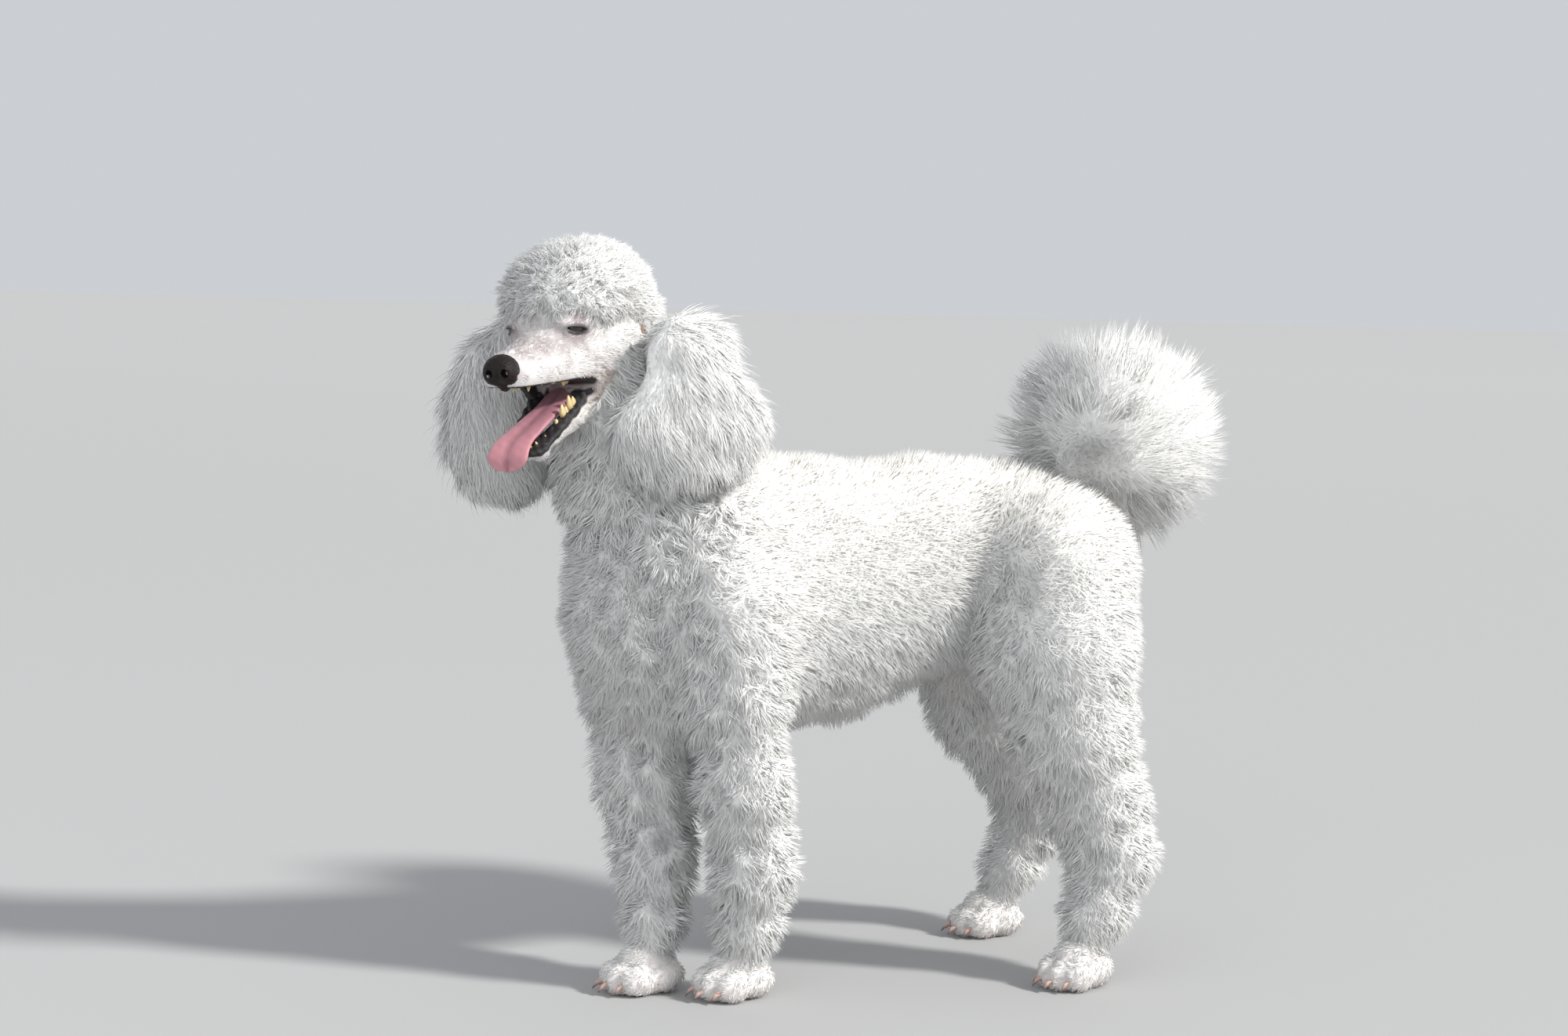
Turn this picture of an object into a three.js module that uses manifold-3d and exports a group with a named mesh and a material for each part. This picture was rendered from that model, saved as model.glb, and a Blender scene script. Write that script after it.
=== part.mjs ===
// A life-size standing standard poodle in a soft lamb trim, head turned to its left with the mouth open.
// Millimetres, +Z up. The dog faces -X and its left side faces -Y.
// Every solid is the outside of the coat, out to the tips of the hair.
import * as THREE from 'three';
import { mergeVertices } from 'three/addons/utils/BufferGeometryUtils.js';
import Module from 'manifold-3d';

const wasm = await Module();
wasm.setup();

// Driving dimensions. Points are [x, y, z] with x = 0 under the withers and z = 0 at the floor.
const CHEST_HALF_WIDTH = 108;
const HIP_HALF_WIDTH = 112;
const CUT_GAP = 0.4;
const BODY_FILLET = 34;
const LEG_FILLET = 26;
const NECK_FILLET = 20;

// The head's own frame is forward, left and up from the middle of the eyes.
const HEAD = { eyesMiddle: [-217, -55, 721], yawDegrees: 43, pitchDegrees: 9, tiltDegrees: 4 };
const EYE = { radius: 11, setBack: 7, halfSpacing: 33, drop: 1 };
const MOUTH = { apex: [-44, -60], upperSlope: 0.105, lowerSlope: -0.42, rounding: 34 };
const TONGUE = {
  halfWidth: 22,
  halfThickness: 4,
  narrowest: 0.7,
  line: [
    [-22, 1, -75],
    [6, 0, -83],
    [32, -3, -91],
    [58, -6, -98],
    [80, -8, -105],
    [93, -9, -116],
    [95, -10, -131],
  ],
};
const JAW_TOP = { point: [-50, 0, -61], normal: [-0.15, 0, -0.99] };
const JAW_BACK = { point: [-80, 0, -61], normal: [1, 0, -0.5] };
const NAPE = { point: [-150, -8, 650], normal: [-0.75, -0.2, 0.63] };
const NECK_BASE = { point: [-70, 0, 540], normal: [0.75, 0, -0.66] };

// Teeth: how far along the jaw, out to the side and up, the root's radius and the height
const UPPER_TEETH = [
  { at: [80, 15, -46], size: [3, 9], points: [0.1, 0, -1] },
  { at: [8, 22, -54], size: [4, 9], points: [0, 0, -1] },
];
const LOWER_TEETH = [
  { at: [68, 12, -106], size: [3, 9], points: [0.3, 0, 1] },
  { at: [24, 20, -92], size: [4, 14], points: [0.1, 0, 1] },
  { at: [9, 22, -86], size: [4, 14], points: [0.1, 0, 1] },
  { at: [-3, 25, -81], size: [4, 14], points: [0.1, 0, 1] },
];

// Claws, and the height of the middle of a toe
const TOE_HEIGHT = 17;
const CLAW = { radius: 3.4, length: 10, seat: 2, drop: 7, tiltDegrees: 28, spreadPerMillimetre: 0.45 };

// The size of the grid cells that each part is drawn with, and the boxes that hold the parts
const CELL = { body: 42, leg: 38, ear: 28, topknot: 31, tail: 38, head: 14, paw: 15, nose: 9, core: 31 };
const BOX = {
  face: [[-330, -190, 540], [-20, 100, 800]],
  nose: [[85, -24, -56], [124, 24, 0]],
  body: [[-270, -230, 220], [590, 230, 800]],
  core: [[-350, -190, 400], [200, 190, 810]],
  topknot: [[-210, -100, -110], [50, 100, 110]],
  tail: [[340, -140, 460], [670, 140, 760]],
  ears: [[-310, -180, 500], [60, 140, 790]],
  paw: [[-60, -55, -12], [80, 55, 66]],
};
const LEG_BOX_MARGIN = 130;
const LEG_BOX_TOP = 480;
const BODY_HALF_WIDTH = 240;
const CORE_MARGIN = 5;
const LOCK_GAP = 3;

// Materials

const coatWhite = new THREE.MeshStandardMaterial({ color: '#efeeea', roughness: 0.95, metalness: 0 });
const coatCream = new THREE.MeshStandardMaterial({ color: '#ece8de', roughness: 0.95, metalness: 0 });
const noseLeather = new THREE.MeshStandardMaterial({ color: '#221c1c', roughness: 0.35, metalness: 0 });
const tongueFlesh = new THREE.MeshStandardMaterial({ color: '#d98a98', roughness: 0.4, metalness: 0 });
const eyeDark = new THREE.MeshStandardMaterial({ color: '#1b1310', roughness: 0.1, metalness: 0 });
const clawHorn = new THREE.MeshStandardMaterial({ color: '#c9a596', roughness: 0.45, metalness: 0 });

// Distance fields: each is a function of a point that is negative inside the shape.

const length3 = (x, y, z) => Math.sqrt(x * x + y * y + z * z);

// An ellipsoid, with its length tipped nose-down by pitch degrees.
function egg([cx, cy, cz], [rx, ry, rz], pitch = 0) {
  const c = Math.cos(THREE.MathUtils.degToRad(pitch));
  const s = Math.sin(THREE.MathUtils.degToRad(pitch));
  return (x, y, z) => {
    const px = (x - cx) * c + (z - cz) * s;
    const pz = -(x - cx) * s + (z - cz) * c;
    const near = length3(px / rx, (y - cy) / ry, pz / rz);
    const slope = length3(px / (rx * rx), (y - cy) / (ry * ry), pz / (rz * rz));
    return slope < 1e-9 ? -Math.min(rx, ry, rz) : (near * (near - 1)) / slope;
  };
}

// A cone with round ends, from radius ra at a to radius rb at b.
function bone(a, ra, b, rb) {
  const ab = [b[0] - a[0], b[1] - a[1], b[2] - a[2]];
  const l2 = ab[0] ** 2 + ab[1] ** 2 + ab[2] ** 2;
  return (x, y, z) => {
    const t = ((x - a[0]) * ab[0] + (y - a[1]) * ab[1] + (z - a[2]) * ab[2]) / l2;
    const h = Math.min(1, Math.max(0, t));
    return length3(x - a[0] - h * ab[0], y - a[1] - h * ab[1], z - a[2] - h * ab[2]) - ra - h * (rb - ra);
  };
}

function softMin(a, b, k) {
  const h = Math.max(k - Math.abs(a - b), 0) / k;
  return Math.min(a, b) - (h * h * k) / 4;
}

// Joins fields with fillets about k wide.
const blend = (k, ...fields) => (x, y, z) => fields.reduce((d, f) => softMin(d, f(x, y, z), k), 1e6);

// Takes the second field out of the first, with a rounded rim.
const carve = (k, solid, hole) => (x, y, z) => -softMin(-solid(x, y, z), hole(x, y, z), k);

// A limb: round bones between [x, y, z, radius] joints.
function limb(k, joints) {
  const bones = joints.slice(1).map((to, i) => {
    const from = joints[i];
    return bone(from.slice(0, 3), from[3], to.slice(0, 3), to[3]);
  });
  return blend(k, ...bones);
}

const pair = (make) => [make(-1), make(1)];

// A field that was written in the frame of matrix, seen from outside it.
function placed(field, matrix) {
  const inverse = matrix.clone().invert();
  const p = new THREE.Vector3();
  return (x, y, z) => {
    p.set(x, y, z).applyMatrix4(inverse);
    return field(p.x, p.y, p.z);
  };
}

// Solids from fields, by one vertex in each grid cell that the surface crosses. The grid's rim is outside.

const CORNERS = [0, 1, 2, 3, 4, 5, 6, 7].map((i) => [i & 1, (i >> 1) & 1, i >> 2]);
const EDGES = [];
CORNERS.forEach((a, i) =>
  CORNERS.forEach((b, j) => {
    const apart = Math.abs(a[0] - b[0]) + Math.abs(a[1] - b[1]) + Math.abs(a[2] - b[2]);
    if (j > i && apart === 1) EDGES.push([i, j]);
  }),
);

// The inside corners of a cell, grouped by the cell's edges: each corner gets the lowest corner of its group.
function cornerGroups(inside) {
  const group = CORNERS.map((_, i) => i);
  for (let pass = 0; pass < 4; pass++)
    for (const [a, b] of EDGES)
      if (inside[a] && inside[b]) group[a] = group[b] = Math.min(group[a], group[b]);
  return group;
}

function netGeometry(field, low, high, cell) {
  const n = low.map((v, i) => Math.ceil((high[i] - v) / cell) + 2);
  const at = (i, j, k) => [low[0] + (i - 0.5) * cell, low[1] + (j - 0.5) * cell, low[2] + (k - 0.5) * cell];
  const index = (i, j, k) => i + n[0] * (j + n[1] * k);
  const values = new Float64Array(n[0] * n[1] * n[2]);
  for (let k = 0; k < n[2]; k++)
    for (let j = 0; j < n[1]; j++)
      for (let i = 0; i < n[0]; i++) {
        const rim = [i, j, k].some((v, d) => v === 0 || v === n[d] - 1);
        values[index(i, j, k)] = rim ? cell : field(...at(i, j, k));
      }
  const points = [];
  const vertexOf = new Int32Array(values.length * CORNERS.length).fill(-1);
  for (let k = 0; k < n[2] - 1; k++)
    for (let j = 0; j < n[1] - 1; j++)
      for (let i = 0; i < n[0] - 1; i++) {
        const v = CORNERS.map(([a, b, c]) => values[index(i + a, j + b, k + c)]);
        const inside = v.map((d) => d < 0);
        if (inside.every(Boolean) || !inside.some(Boolean)) continue;
        const group = cornerGroups(inside);
        const sums = new Map();
        for (const [a, b] of EDGES) {
          if (inside[a] === inside[b]) continue;
          const key = group[inside[a] ? a : b];
          const t = v[a] / (v[a] - v[b]);
          const sum = sums.get(key) || [0, 0, 0, 0];
          for (let d = 0; d < 3; d++) sum[d] += CORNERS[a][d] + t * (CORNERS[b][d] - CORNERS[a][d]);
          sum[3]++;
          sums.set(key, sum);
        }
        const corner = at(i, j, k);
        for (const [key, sum] of sums) {
          const slots = index(i, j, k) * CORNERS.length;
          CORNERS.forEach((_, c) => {
            if (inside[c] && group[c] === key) vertexOf[slots + c] = points.length / 3;
          });
          points.push(...corner.map((c, d) => c + (sum[d] / sum[3]) * cell));
        }
      }
  pullOntoSurface(points, field, cell);
  const faces = [];
  const quad = (a, b, c, d, flip) => {
    const gap = (p, q) => Math.hypot(...[0, 1, 2].map((e) => points[3 * p + e] - points[3 * q + e]));
    const [p, q, r, s] = flip ? [d, c, b, a] : [a, b, c, d];
    if (gap(p, r) <= gap(q, s)) faces.push(p, q, r, p, r, s);
    else faces.push(q, r, s, q, s, p);
  };
  // Each grid edge that crosses the surface gives one quad, between the four cells round it.
  const rings = [
    [[0, 1, 1], [0, 0, 1], [0, 0, 0], [0, 1, 0]],
    [[1, 0, 1], [1, 0, 0], [0, 0, 0], [0, 0, 1]],
    [[1, 1, 0], [0, 1, 0], [0, 0, 0], [1, 0, 0]],
  ];
  for (let k = 0; k < n[2] - 1; k++)
    for (let j = 0; j < n[1] - 1; j++)
      for (let i = 0; i < n[0] - 1; i++) {
        const inside = values[index(i, j, k)] < 0;
        rings.forEach((ring, axis) => {
          const far = [i, j, k];
          far[axis]++;
          if (inside === values[index(...far)] < 0) return;
          const [a, b, c] = inside ? [i, j, k] : far;
          const corners = ring.map(([p, q, r]) => {
            const corner = a - (i - p) + 2 * (b - (j - q)) + 4 * (c - (k - r));
            return vertexOf[index(i - p, j - q, k - r) * CORNERS.length + corner];
          });
          quad(...corners, !inside);
        });
      }
  const geometry = new THREE.BufferGeometry();
  geometry.setAttribute('position', new THREE.BufferAttribute(new Float32Array(points), 3));
  geometry.setIndex(faces);
  return geometry;
}

// Moves each point along the field's slope until it lies on the true surface, by at most half a cell.
function pullOntoSurface(points, field, cell) {
  const e = 0.05 * cell;
  for (let i = 0; i < points.length; i += 3) {
    const [x, y, z] = points.slice(i, i + 3);
    const d = field(x, y, z);
    const g = [field(x + e, y, z) - d, field(x, y + e, z) - d, field(x, y, z + e) - d].map((v) => v / e);
    const g2 = Math.max(g[0] ** 2 + g[1] ** 2 + g[2] ** 2, 0.25);
    const step = THREE.MathUtils.clamp(-d / g2, -cell / 2, cell / 2);
    for (let a = 0; a < 3; a++) points[i + a] += step * g[a];
  }
}

// Manifold solids and back

function solidOf(geometry) {
  const g = geometry.clone();
  for (const name of Object.keys(g.attributes)) if (name !== 'position') g.deleteAttribute(name);
  const merged = mergeVertices(g, 1e-3);
  return new wasm.Manifold(
    new wasm.Mesh({
      numProp: 3,
      vertProperties: merged.attributes.position.array,
      triVerts: new Uint32Array(merged.index.array),
    }),
  );
}

// The field's solid. A grid that pinches the surface is shifted by a part of a cell and tried again.
function solidFrom(field, low, high, cell) {
  const shifts = [0, 0.21, 0.43, 0.67, 0.13, 0.31, 0.57, 0.79, 0.91];
  for (const scale of [1, 0.95, 0.9]) {
    for (const shift of shifts) {
      const moved = low.map((v, i) => v - ((shift * (1 + 0.3 * i)) % 1) * cell);
      try {
        return solidOf(netGeometry(field, moved, high, cell * scale));
      } catch (error) {
        if (error.code !== 'NotManifold') throw error;
      }
    }
  }
  throw new Error('every grid pinches this surface');
}

function turnedInsideOut(geometry) {
  const index = Array.from(geometry.index.array);
  for (let i = 0; i < index.length; i += 3) [index[i], index[i + 1]] = [index[i + 1], index[i]];
  const turned = geometry.clone();
  turned.setIndex(index);
  return turned;
}

function geometryOf(solid) {
  const { vertProperties, triVerts, numProp, numVert } = solid.getMesh();
  const positions = new Float32Array(numVert * 3);
  for (let i = 0; i < numVert; i++) {
    positions.set(vertProperties.subarray(i * numProp, i * numProp + 3), i * 3);
  }
  const geometry = new THREE.BufferGeometry();
  geometry.setAttribute('position', new THREE.BufferAttribute(positions, 3));
  geometry.setIndex(new THREE.BufferAttribute(new Uint32Array(triVerts), 1));
  geometry.computeVertexNormals();
  return geometry;
}

// The same solid with every vertex pushed out along its normal.
function grown(solid, by) {
  const geometry = geometryOf(solid);
  const { position, normal } = geometry.attributes;
  for (let i = 0; i < position.count; i++) {
    position.setXYZ(
      i,
      position.getX(i) + by * normal.getX(i),
      position.getY(i) + by * normal.getY(i),
      position.getZ(i) + by * normal.getZ(i),
    );
  }
  return solidOf(geometry);
}

// The largest body of a solid, without the crumbs that a cut can leave.
const mainBody = (solid) => solid.decompose().sort((a, b) => b.volume() - a.volume())[0];

// A box that holds everything on the side of a plane that its normal points to.
function halfSpace(point, normal, reach = 1200) {
  const geometry = new THREE.BoxGeometry(reach, reach, reach).translate(0, 0, reach / 2);
  const turn = new THREE.Quaternion().setFromUnitVectors(
    new THREE.Vector3(0, 0, 1),
    new THREE.Vector3(...normal).normalize(),
  );
  return solidOf(geometry.applyQuaternion(turn).translate(...point));
}

// The side of a plane that its normal points to (1) or the other (-1), moved back along it by the gap.
function halfSpaceBehind({ point, normal }, side) {
  const n = new THREE.Vector3(...normal).normalize();
  const back = point.map((v, i) => v - CUT_GAP * n.getComponent(i));
  return halfSpace(back, normal.map((v) => side * v));
}

// Splits a solid by a plane into [the side the normal points to, the other side], a thin gap apart.
function parted(solid, plane) {
  return [
    mainBody(solid.intersect(halfSpace(plane.point, plane.normal))),
    mainBody(solid.intersect(halfSpaceBehind(plane, -1))),
  ];
}

// Trunk and neck

const trunkField = blend(
  BODY_FILLET + 2,
  egg([2, 0, 428], [172, CHEST_HALF_WIDTH, 172], -6),
  egg([120, 0, 438], [175, CHEST_HALF_WIDTH - 2, 158]),
  egg([260, 0, 462], [150, 94, 136], 6),
  egg([372, 0, 484], [112, HIP_HALF_WIDTH - 14, 108], 8),
  bone([170, 0, 312], 24, [262, 0, 330], 15),
  ...pair((side) => egg([18, side * 64, 420], [96, 52, 130], 12)),
);

const neckField = limb(30, [
  [-30, 0, 500, 116],
  [-84, -4, 575, 94],
  [-118, -6, 645, 80],
  [-138, -6, 705, 66],
]);

// Legs: joints are [x, y, z, radius] from the body down to the pastern or the hock

const LEGS = {
  front_left: {
    joints: [
      [-4, -76, 430, 68],
      [6, -79, 335, 59],
      [20, -83, 230, 54],
      [34, -82, 140, 50],
      [30, -78, 80, 40],
      [26, -76, 42, 26],
    ],
    paw: [20, -76],
    toeDegrees: 4,
    topPlane: [[0, 0, 338], [0.1, 0, -1]],
    sidePlanes: [[[0, -22, 230], [0.1, -1, -0.12]], [[108, 0, 0], [-1, 0, 0]]],
  },
  front_right: {
    joints: [
      [-42, 58, 430, 90],
      [-42, 52, 335, 76],
      [-42, 36, 230, 62],
      [-42, 12, 140, 50],
      [-50, -10, 80, 38],
      [-54, -16, 42, 26],
    ],
    paw: [-64, -20],
    toeDegrees: -4,
    topPlane: [[0, 0, 338], [0.1, 0, -1]],
    sidePlanes: [[[0, -21.4, 230], [-0.1, 1, 0.12]], [[108, 0, 0], [-1, 0, 0]]],
  },
  hind_left: {
    joints: [
      [404, -60, 462, 107],
      [398, -88, 372, 97],
      [410, -110, 285, 77],
      [440, -122, 205, 62],
      [460, -130, 145, 53],
      [436, -138, 84, 42],
      [420, -142, 42, 27],
    ],
    paw: [412, -146],
    toeDegrees: 8,
    topPlane: [[372, 0, 372], [0.5, 0, -1]],
    sidePlanes: [[[400, -1, 300], [0, -1, 0]]],
  },
  hind_right: {
    joints: [
      [400, 60, 470, 100],
      [392, 92, 372, 88],
      [424, 110, 285, 70],
      [486, 118, 205, 57],
      [506, 122, 145, 49],
      [476, 124, 84, 38],
      [460, 126, 42, 26],
    ],
    paw: [450, 126],
    toeDegrees: -6,
    topPlane: [[372, 0, 372], [0.5, 0, -1]],
    sidePlanes: [[[400, 1, 300], [0, 1, 0]]],
  },
};

// The left and right legs fillet into the trunk but only touch each other.
const coreField = blend(BODY_FILLET, trunkField, neckField);
const limbsOf = (side) =>
  Object.entries(LEGS)
    .filter(([name]) => name.endsWith(side))
    .map(([, leg]) => limb(LEG_FILLET, leg.joints));
const leftField = blend(BODY_FILLET, coreField, ...limbsOf('left'));
const rightField = blend(BODY_FILLET, coreField, ...limbsOf('right'));
const bodyField = (x, y, z) => Math.min(leftField(x, y, z), rightField(x, y, z));

// Head: fields are in its own frame, forward, left and up from the middle of the eyes

const headMatrix = (() => {
  const turn = new THREE.Euler(
    THREE.MathUtils.degToRad(HEAD.tiltDegrees),
    THREE.MathUtils.degToRad(HEAD.pitchDegrees),
    THREE.MathUtils.degToRad(180 + HEAD.yawDegrees),
    'ZYX',
  );
  return new THREE.Matrix4().makeRotationFromEuler(turn).setPosition(...HEAD.eyesMiddle);
})();
const fromHead = (point) => new THREE.Vector3(...point).applyMatrix4(headMatrix).toArray();
const headDirection = (v) => new THREE.Vector3(...v).transformDirection(headMatrix).toArray();

// The open mouth is a wedge between the two lip lines, which meet at the corners of the mouth.
function mouthField(x, y, z) {
  const ahead = x - MOUTH.apex[0];
  const under = (z - MOUTH.apex[1] - MOUTH.upperSlope * ahead) / Math.hypot(1, MOUTH.upperSlope);
  const over = (MOUTH.apex[1] + MOUTH.lowerSlope * ahead - z) / Math.hypot(1, MOUTH.lowerSlope);
  return -softMin(-under, -over, MOUTH.rounding);
}
const throatField = blend(8, egg([-38, 0, -74], [28, 27, 26]), egg([-18, -33, -72], [34, 11, 24]));

const faceField = carve(
  6,
  blend(
    14,
    egg([-60, 0, 2], [72, 56, 54]),
    egg([-96, 0, -40], [56, 54, 66]),
  ...pair((side) => egg([-84, side * 36, -22], [44, 28, 46])),
    ...pair((side) => egg([-40, side * 28, -36], [50, 30, 42], -10)),
    ...pair((side) => egg([-10, side * 25, 5], [26, 18, 14])),
    ...pair((side) => bone([-8, side * 10, -24], 29, [84, side * 6, -30], 20)),
    egg([88, 0, -31], [22, 23, 22]),
    ...pair((side) => bone([-34, side * 25, -48], 16, [88, side * 12, -36], 12)),
    ...pair((side) => bone([-66, side * 26, -74], 19, [66, side * 13, -109], 12)),
    egg([70, 0, -114], [18, 19, 12], 22),
  ),
  carve(3, blend(4, mouthField, bone([60, 0, -90], 13, [-50, 0, -74], 18)), throatField),
);

const noseField = blend(
  5,
  egg([104, 0, -22], [14, 18, 15]),
  ...pair((side) => egg([107, side * 9, -26], [11, 10, 12])),
  egg([101, 0, -37], [9, 7, 9]),
);

// The tongue hangs over the front of the jaw. It is a ball drawn out along a curve and pressed flat.
function tongueSolid() {
  const path = new THREE.CatmullRomCurve3(
    TONGUE.line.map((p) => new THREE.Vector3(...p)),
  );
  const ball = new THREE.SphereGeometry(1, 12, 12);
  const { position } = ball.attributes;
  const across = new THREE.Vector3(0, 1, 0);
  for (let i = 0; i < position.count; i++) {
    const t = THREE.MathUtils.clamp(0.5 - 0.5 * position.getY(i), 0, 1);
    const ring = Math.hypot(position.getX(i), position.getZ(i));
    const blunt = ring > 1e-6 ? ring ** -0.4 : 0;
    const lift = path.getTangent(t).cross(across).negate();
    const spot = path.getPoint(t);
    const width = TONGUE.halfWidth * (TONGUE.narrowest + (1 - TONGUE.narrowest) * t);
    spot.addScaledVector(across, position.getX(i) * blunt * width);
    spot.addScaledVector(lift, position.getZ(i) * blunt * TONGUE.halfThickness);
    position.setXYZ(i, spot.x, spot.y, spot.z);
  }
  const solid = solidOf(ball.applyMatrix4(headMatrix));
  return solid.volume() > 0 ? solid : solidOf(turnedInsideOut(ball));
}

const topknotField = blend(
  20,
  egg([-80, 0, 28], [100, 80, 62], -4),
  egg([-128, 0, -12], [80, 78, 80]),
);

const EARS = {
  ear_left: blend(
    24,
    egg([-80, -86, 702], [32, 30, 44]),
    egg([-54, -84, 704], [42, 30, 42]),
    egg([-66, -104, 664], [54, 38, 74], 34),
    egg([-80, -108, 618], [84, 38, 62]),
    egg([-30, -100, 630], [52, 30, 56], 40),
  ),
  ear_right: blend(
    24,
    egg([-198, 46, 702], [40, 34, 46]),
    egg([-220, 64, 640], [60, 38, 82]),
    egg([-212, 66, 600], [66, 40, 74]),
  ),
};

const tailField = blend(
  16,
  limb(10, [[380, 0, 548, 30], [430, 0, 580, 26], [500, 0, 620, 24]]),
  egg([518, 0, 610], [128, 118, 128]),
);

// Paws: four toes, two pads and a flat sole on the floor

const TOES = [
  { along: 15, across: -23, radii: [21, 13, 18] },
  { along: 27, across: -9, radii: [22, 13, 20] },
  { along: 27, across: 9, radii: [22, 13, 20] },
  { along: 15, across: 23, radii: [21, 13, 18] },
];

function pawMatrix(leg) {
  const turn = new THREE.Matrix4().makeRotationZ(THREE.MathUtils.degToRad(180 + leg.toeDegrees));
  return turn.setPosition(leg.paw[0], leg.paw[1], 0);
}

const pawField = blend(
  5,
  egg([-8, 0, 20], [38, 29, 24]),
  egg([2, 0, 34], [28, 23, 22]),
  ...TOES.map((toe) => egg([toe.along, toe.across, TOE_HEIGHT], toe.radii, 8)),
);

function clawSolid(leg, toe) {
  const geometry = new THREE.ConeGeometry(CLAW.radius, CLAW.length, 4, 1).rotateZ(-Math.PI / 2);
  geometry.rotateY(THREE.MathUtils.degToRad(CLAW.tiltDegrees));
  geometry.translate(toe.radii[0] - CLAW.seat, 0, -CLAW.drop);
  geometry.rotateZ(THREE.MathUtils.degToRad(toe.across * CLAW.spreadPerMillimetre));
  geometry.translate(toe.along, toe.across, TOE_HEIGHT).applyMatrix4(pawMatrix(leg));
  return solidOf(geometry);
}

// A tooth is a four-sided cone, seated by a quarter of its height.
function toothSolid({ at: [along, across, up], size: [radius, height], points }, side) {
  const geometry = new THREE.ConeGeometry(radius, height, 4).translate(0, height / 4, 0);
  const upright = new THREE.Vector3(0, 1, 0);
  const direction = new THREE.Vector3(...points).normalize();
  geometry.applyQuaternion(new THREE.Quaternion().setFromUnitVectors(upright, direction));
  return solidOf(geometry.translate(along, side * across, up).applyMatrix4(headMatrix));
}

// Build

const nodes = [];
const addNode = (name, solid, material) => nodes.push({ name, solid, material });
const without = (solid, ...others) => mainBody(others.reduce((s, o) => s.subtract(grown(o, CUT_GAP)), solid));

function headSolid(field, low, high, cell) {
  const corners = [];
  for (const x of [low[0], high[0]])
    for (const y of [low[1], high[1]])
      for (const z of [low[2], high[2]]) corners.push(new THREE.Vector3(...fromHead([x, y, z])));
  const box = new THREE.Box3().setFromPoints(corners);
  return solidFrom(placed(field, headMatrix), box.min.toArray(), box.max.toArray(), cell);
}

const eyes = Object.fromEntries(
  [['eye_left', 1], ['eye_right', -1]].map(([name, side]) => {
    const ball = new THREE.SphereGeometry(EYE.radius, 8, 6);
    ball.translate(-EYE.setBack, side * EYE.halfSpacing, -EYE.drop);
    return [name, solidOf(ball.applyMatrix4(headMatrix))];
  }),
);
const nose = headSolid(noseField, ...BOX.nose, CELL.nose);
const tongue = tongueSolid();
const faceInWorld = placed(faceField, headMatrix);
const faceAndNeck = blend(NECK_FILLET, faceInWorld, neckField);
const faceWhole = solidFrom(faceAndNeck, ...BOX.face, CELL.head);
const face = mainBody(faceWhole.intersect(halfSpace(NAPE.point, NAPE.normal)));

// The jaw is what lies under a plane through the corners of the mouth, as far back as its hinge
const jawTop = halfSpace(fromHead(JAW_TOP.point), headDirection(JAW_TOP.normal));
const jawBack = halfSpace(fromHead(JAW_BACK.point), headDirection(JAW_BACK.normal));
const jawRegion = jawTop.intersect(jawBack);
const bothSides = (teeth) => teeth.flatMap((tooth) => pair((side) => toothSolid(tooth, side)));

const jawBare = mainBody(face.intersect(jawRegion));
const headBare = mainBody(face.subtract(grown(jawRegion, CUT_GAP)));
const withTeeth = (solid, teeth) => teeth.reduce((s, tooth) => s.add(tooth), solid);
const jaw = without(withTeeth(jawBare, bothSides(LOWER_TEETH)), tongue);
const headWithTeeth = withTeeth(headBare, bothSides(UPPER_TEETH));
const head = without(headWithTeeth, jaw, nose, tongue, eyes.eye_left, eyes.eye_right);

const body = solidFrom(bodyField, ...BOX.body, CELL.body);
const floor = halfSpace([0, 0, 0], [0, 0, 1]);
const flesh = body.intersect(halfSpaceBehind(NAPE, -1));

const legSolids = {};
const pawSolids = {};
let trunk = flesh;
for (const [name, leg] of Object.entries(LEGS)) {
  const planes = [leg.topPlane, ...leg.sidePlanes].map(([point, normal]) => ({ point, normal }));
  const common = (a, b) => a.intersect(b);
  const region = planes.map(({ point, normal }) => halfSpace(point, normal)).reduce(common);
  const wider = planes.map((plane) => halfSpaceBehind(plane, 1)).reduce(common);
  const matrix = pawMatrix(leg);
  const corners = BOX.paw.map((p) => new THREE.Vector3(...p).applyMatrix4(matrix));
  const pawBox = new THREE.Box3().setFromPoints(corners);
  const claws = TOES.map((toe) => clawSolid(leg, toe));
  const grid = solidFrom(placed(pawField, matrix), pawBox.min.toArray(), pawBox.max.toArray(), CELL.paw);
  const whole = grid.intersect(floor);
  pawSolids[name] = without(whole, ...claws);
  const along = leg.joints.map((joint) => joint[0]);
  const legLow = [Math.min(...along) - LEG_BOX_MARGIN, -BODY_HALF_WIDTH, -20];
  const legHigh = [Math.max(...along) + LEG_BOX_MARGIN, BODY_HALF_WIDTH, LEG_BOX_TOP];
  const sideField = name.endsWith('left') ? leftField : rightField;
  const legWhole = solidFrom(sideField, legLow, legHigh, CELL.leg).intersect(region);
  legSolids[name] = without(legWhole, whole);
  trunk = trunk.subtract(wider);
  claws.forEach((claw, i) => addNode(`claw_${name}_${i + 1}`, claw, clawHorn));
}
trunk = mainBody(trunk);

const [trunkAlone, neckAlone] = parted(trunk, NECK_BASE);

// Long hair stands round a core a little larger than the head, the neck and the trunk.
const swollen = (field, by) => (x, y, z) => field(x, y, z) - by;
const inside = blend(NECK_FILLET, faceInWorld, coreField);
const core = solidFrom(swollen(inside, CORE_MARGIN), ...BOX.core, CELL.core);
const topknotWhole = headSolid(topknotField, ...BOX.topknot, CELL.topknot);
const aroundTopknot = headSolid(swollen(topknotField, LOCK_GAP), ...BOX.topknot, CELL.topknot);
const topknot = mainBody(topknotWhole.subtract(core));
const tail = without(solidFrom(tailField, ...BOX.tail, CELL.tail), trunkAlone);

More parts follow.
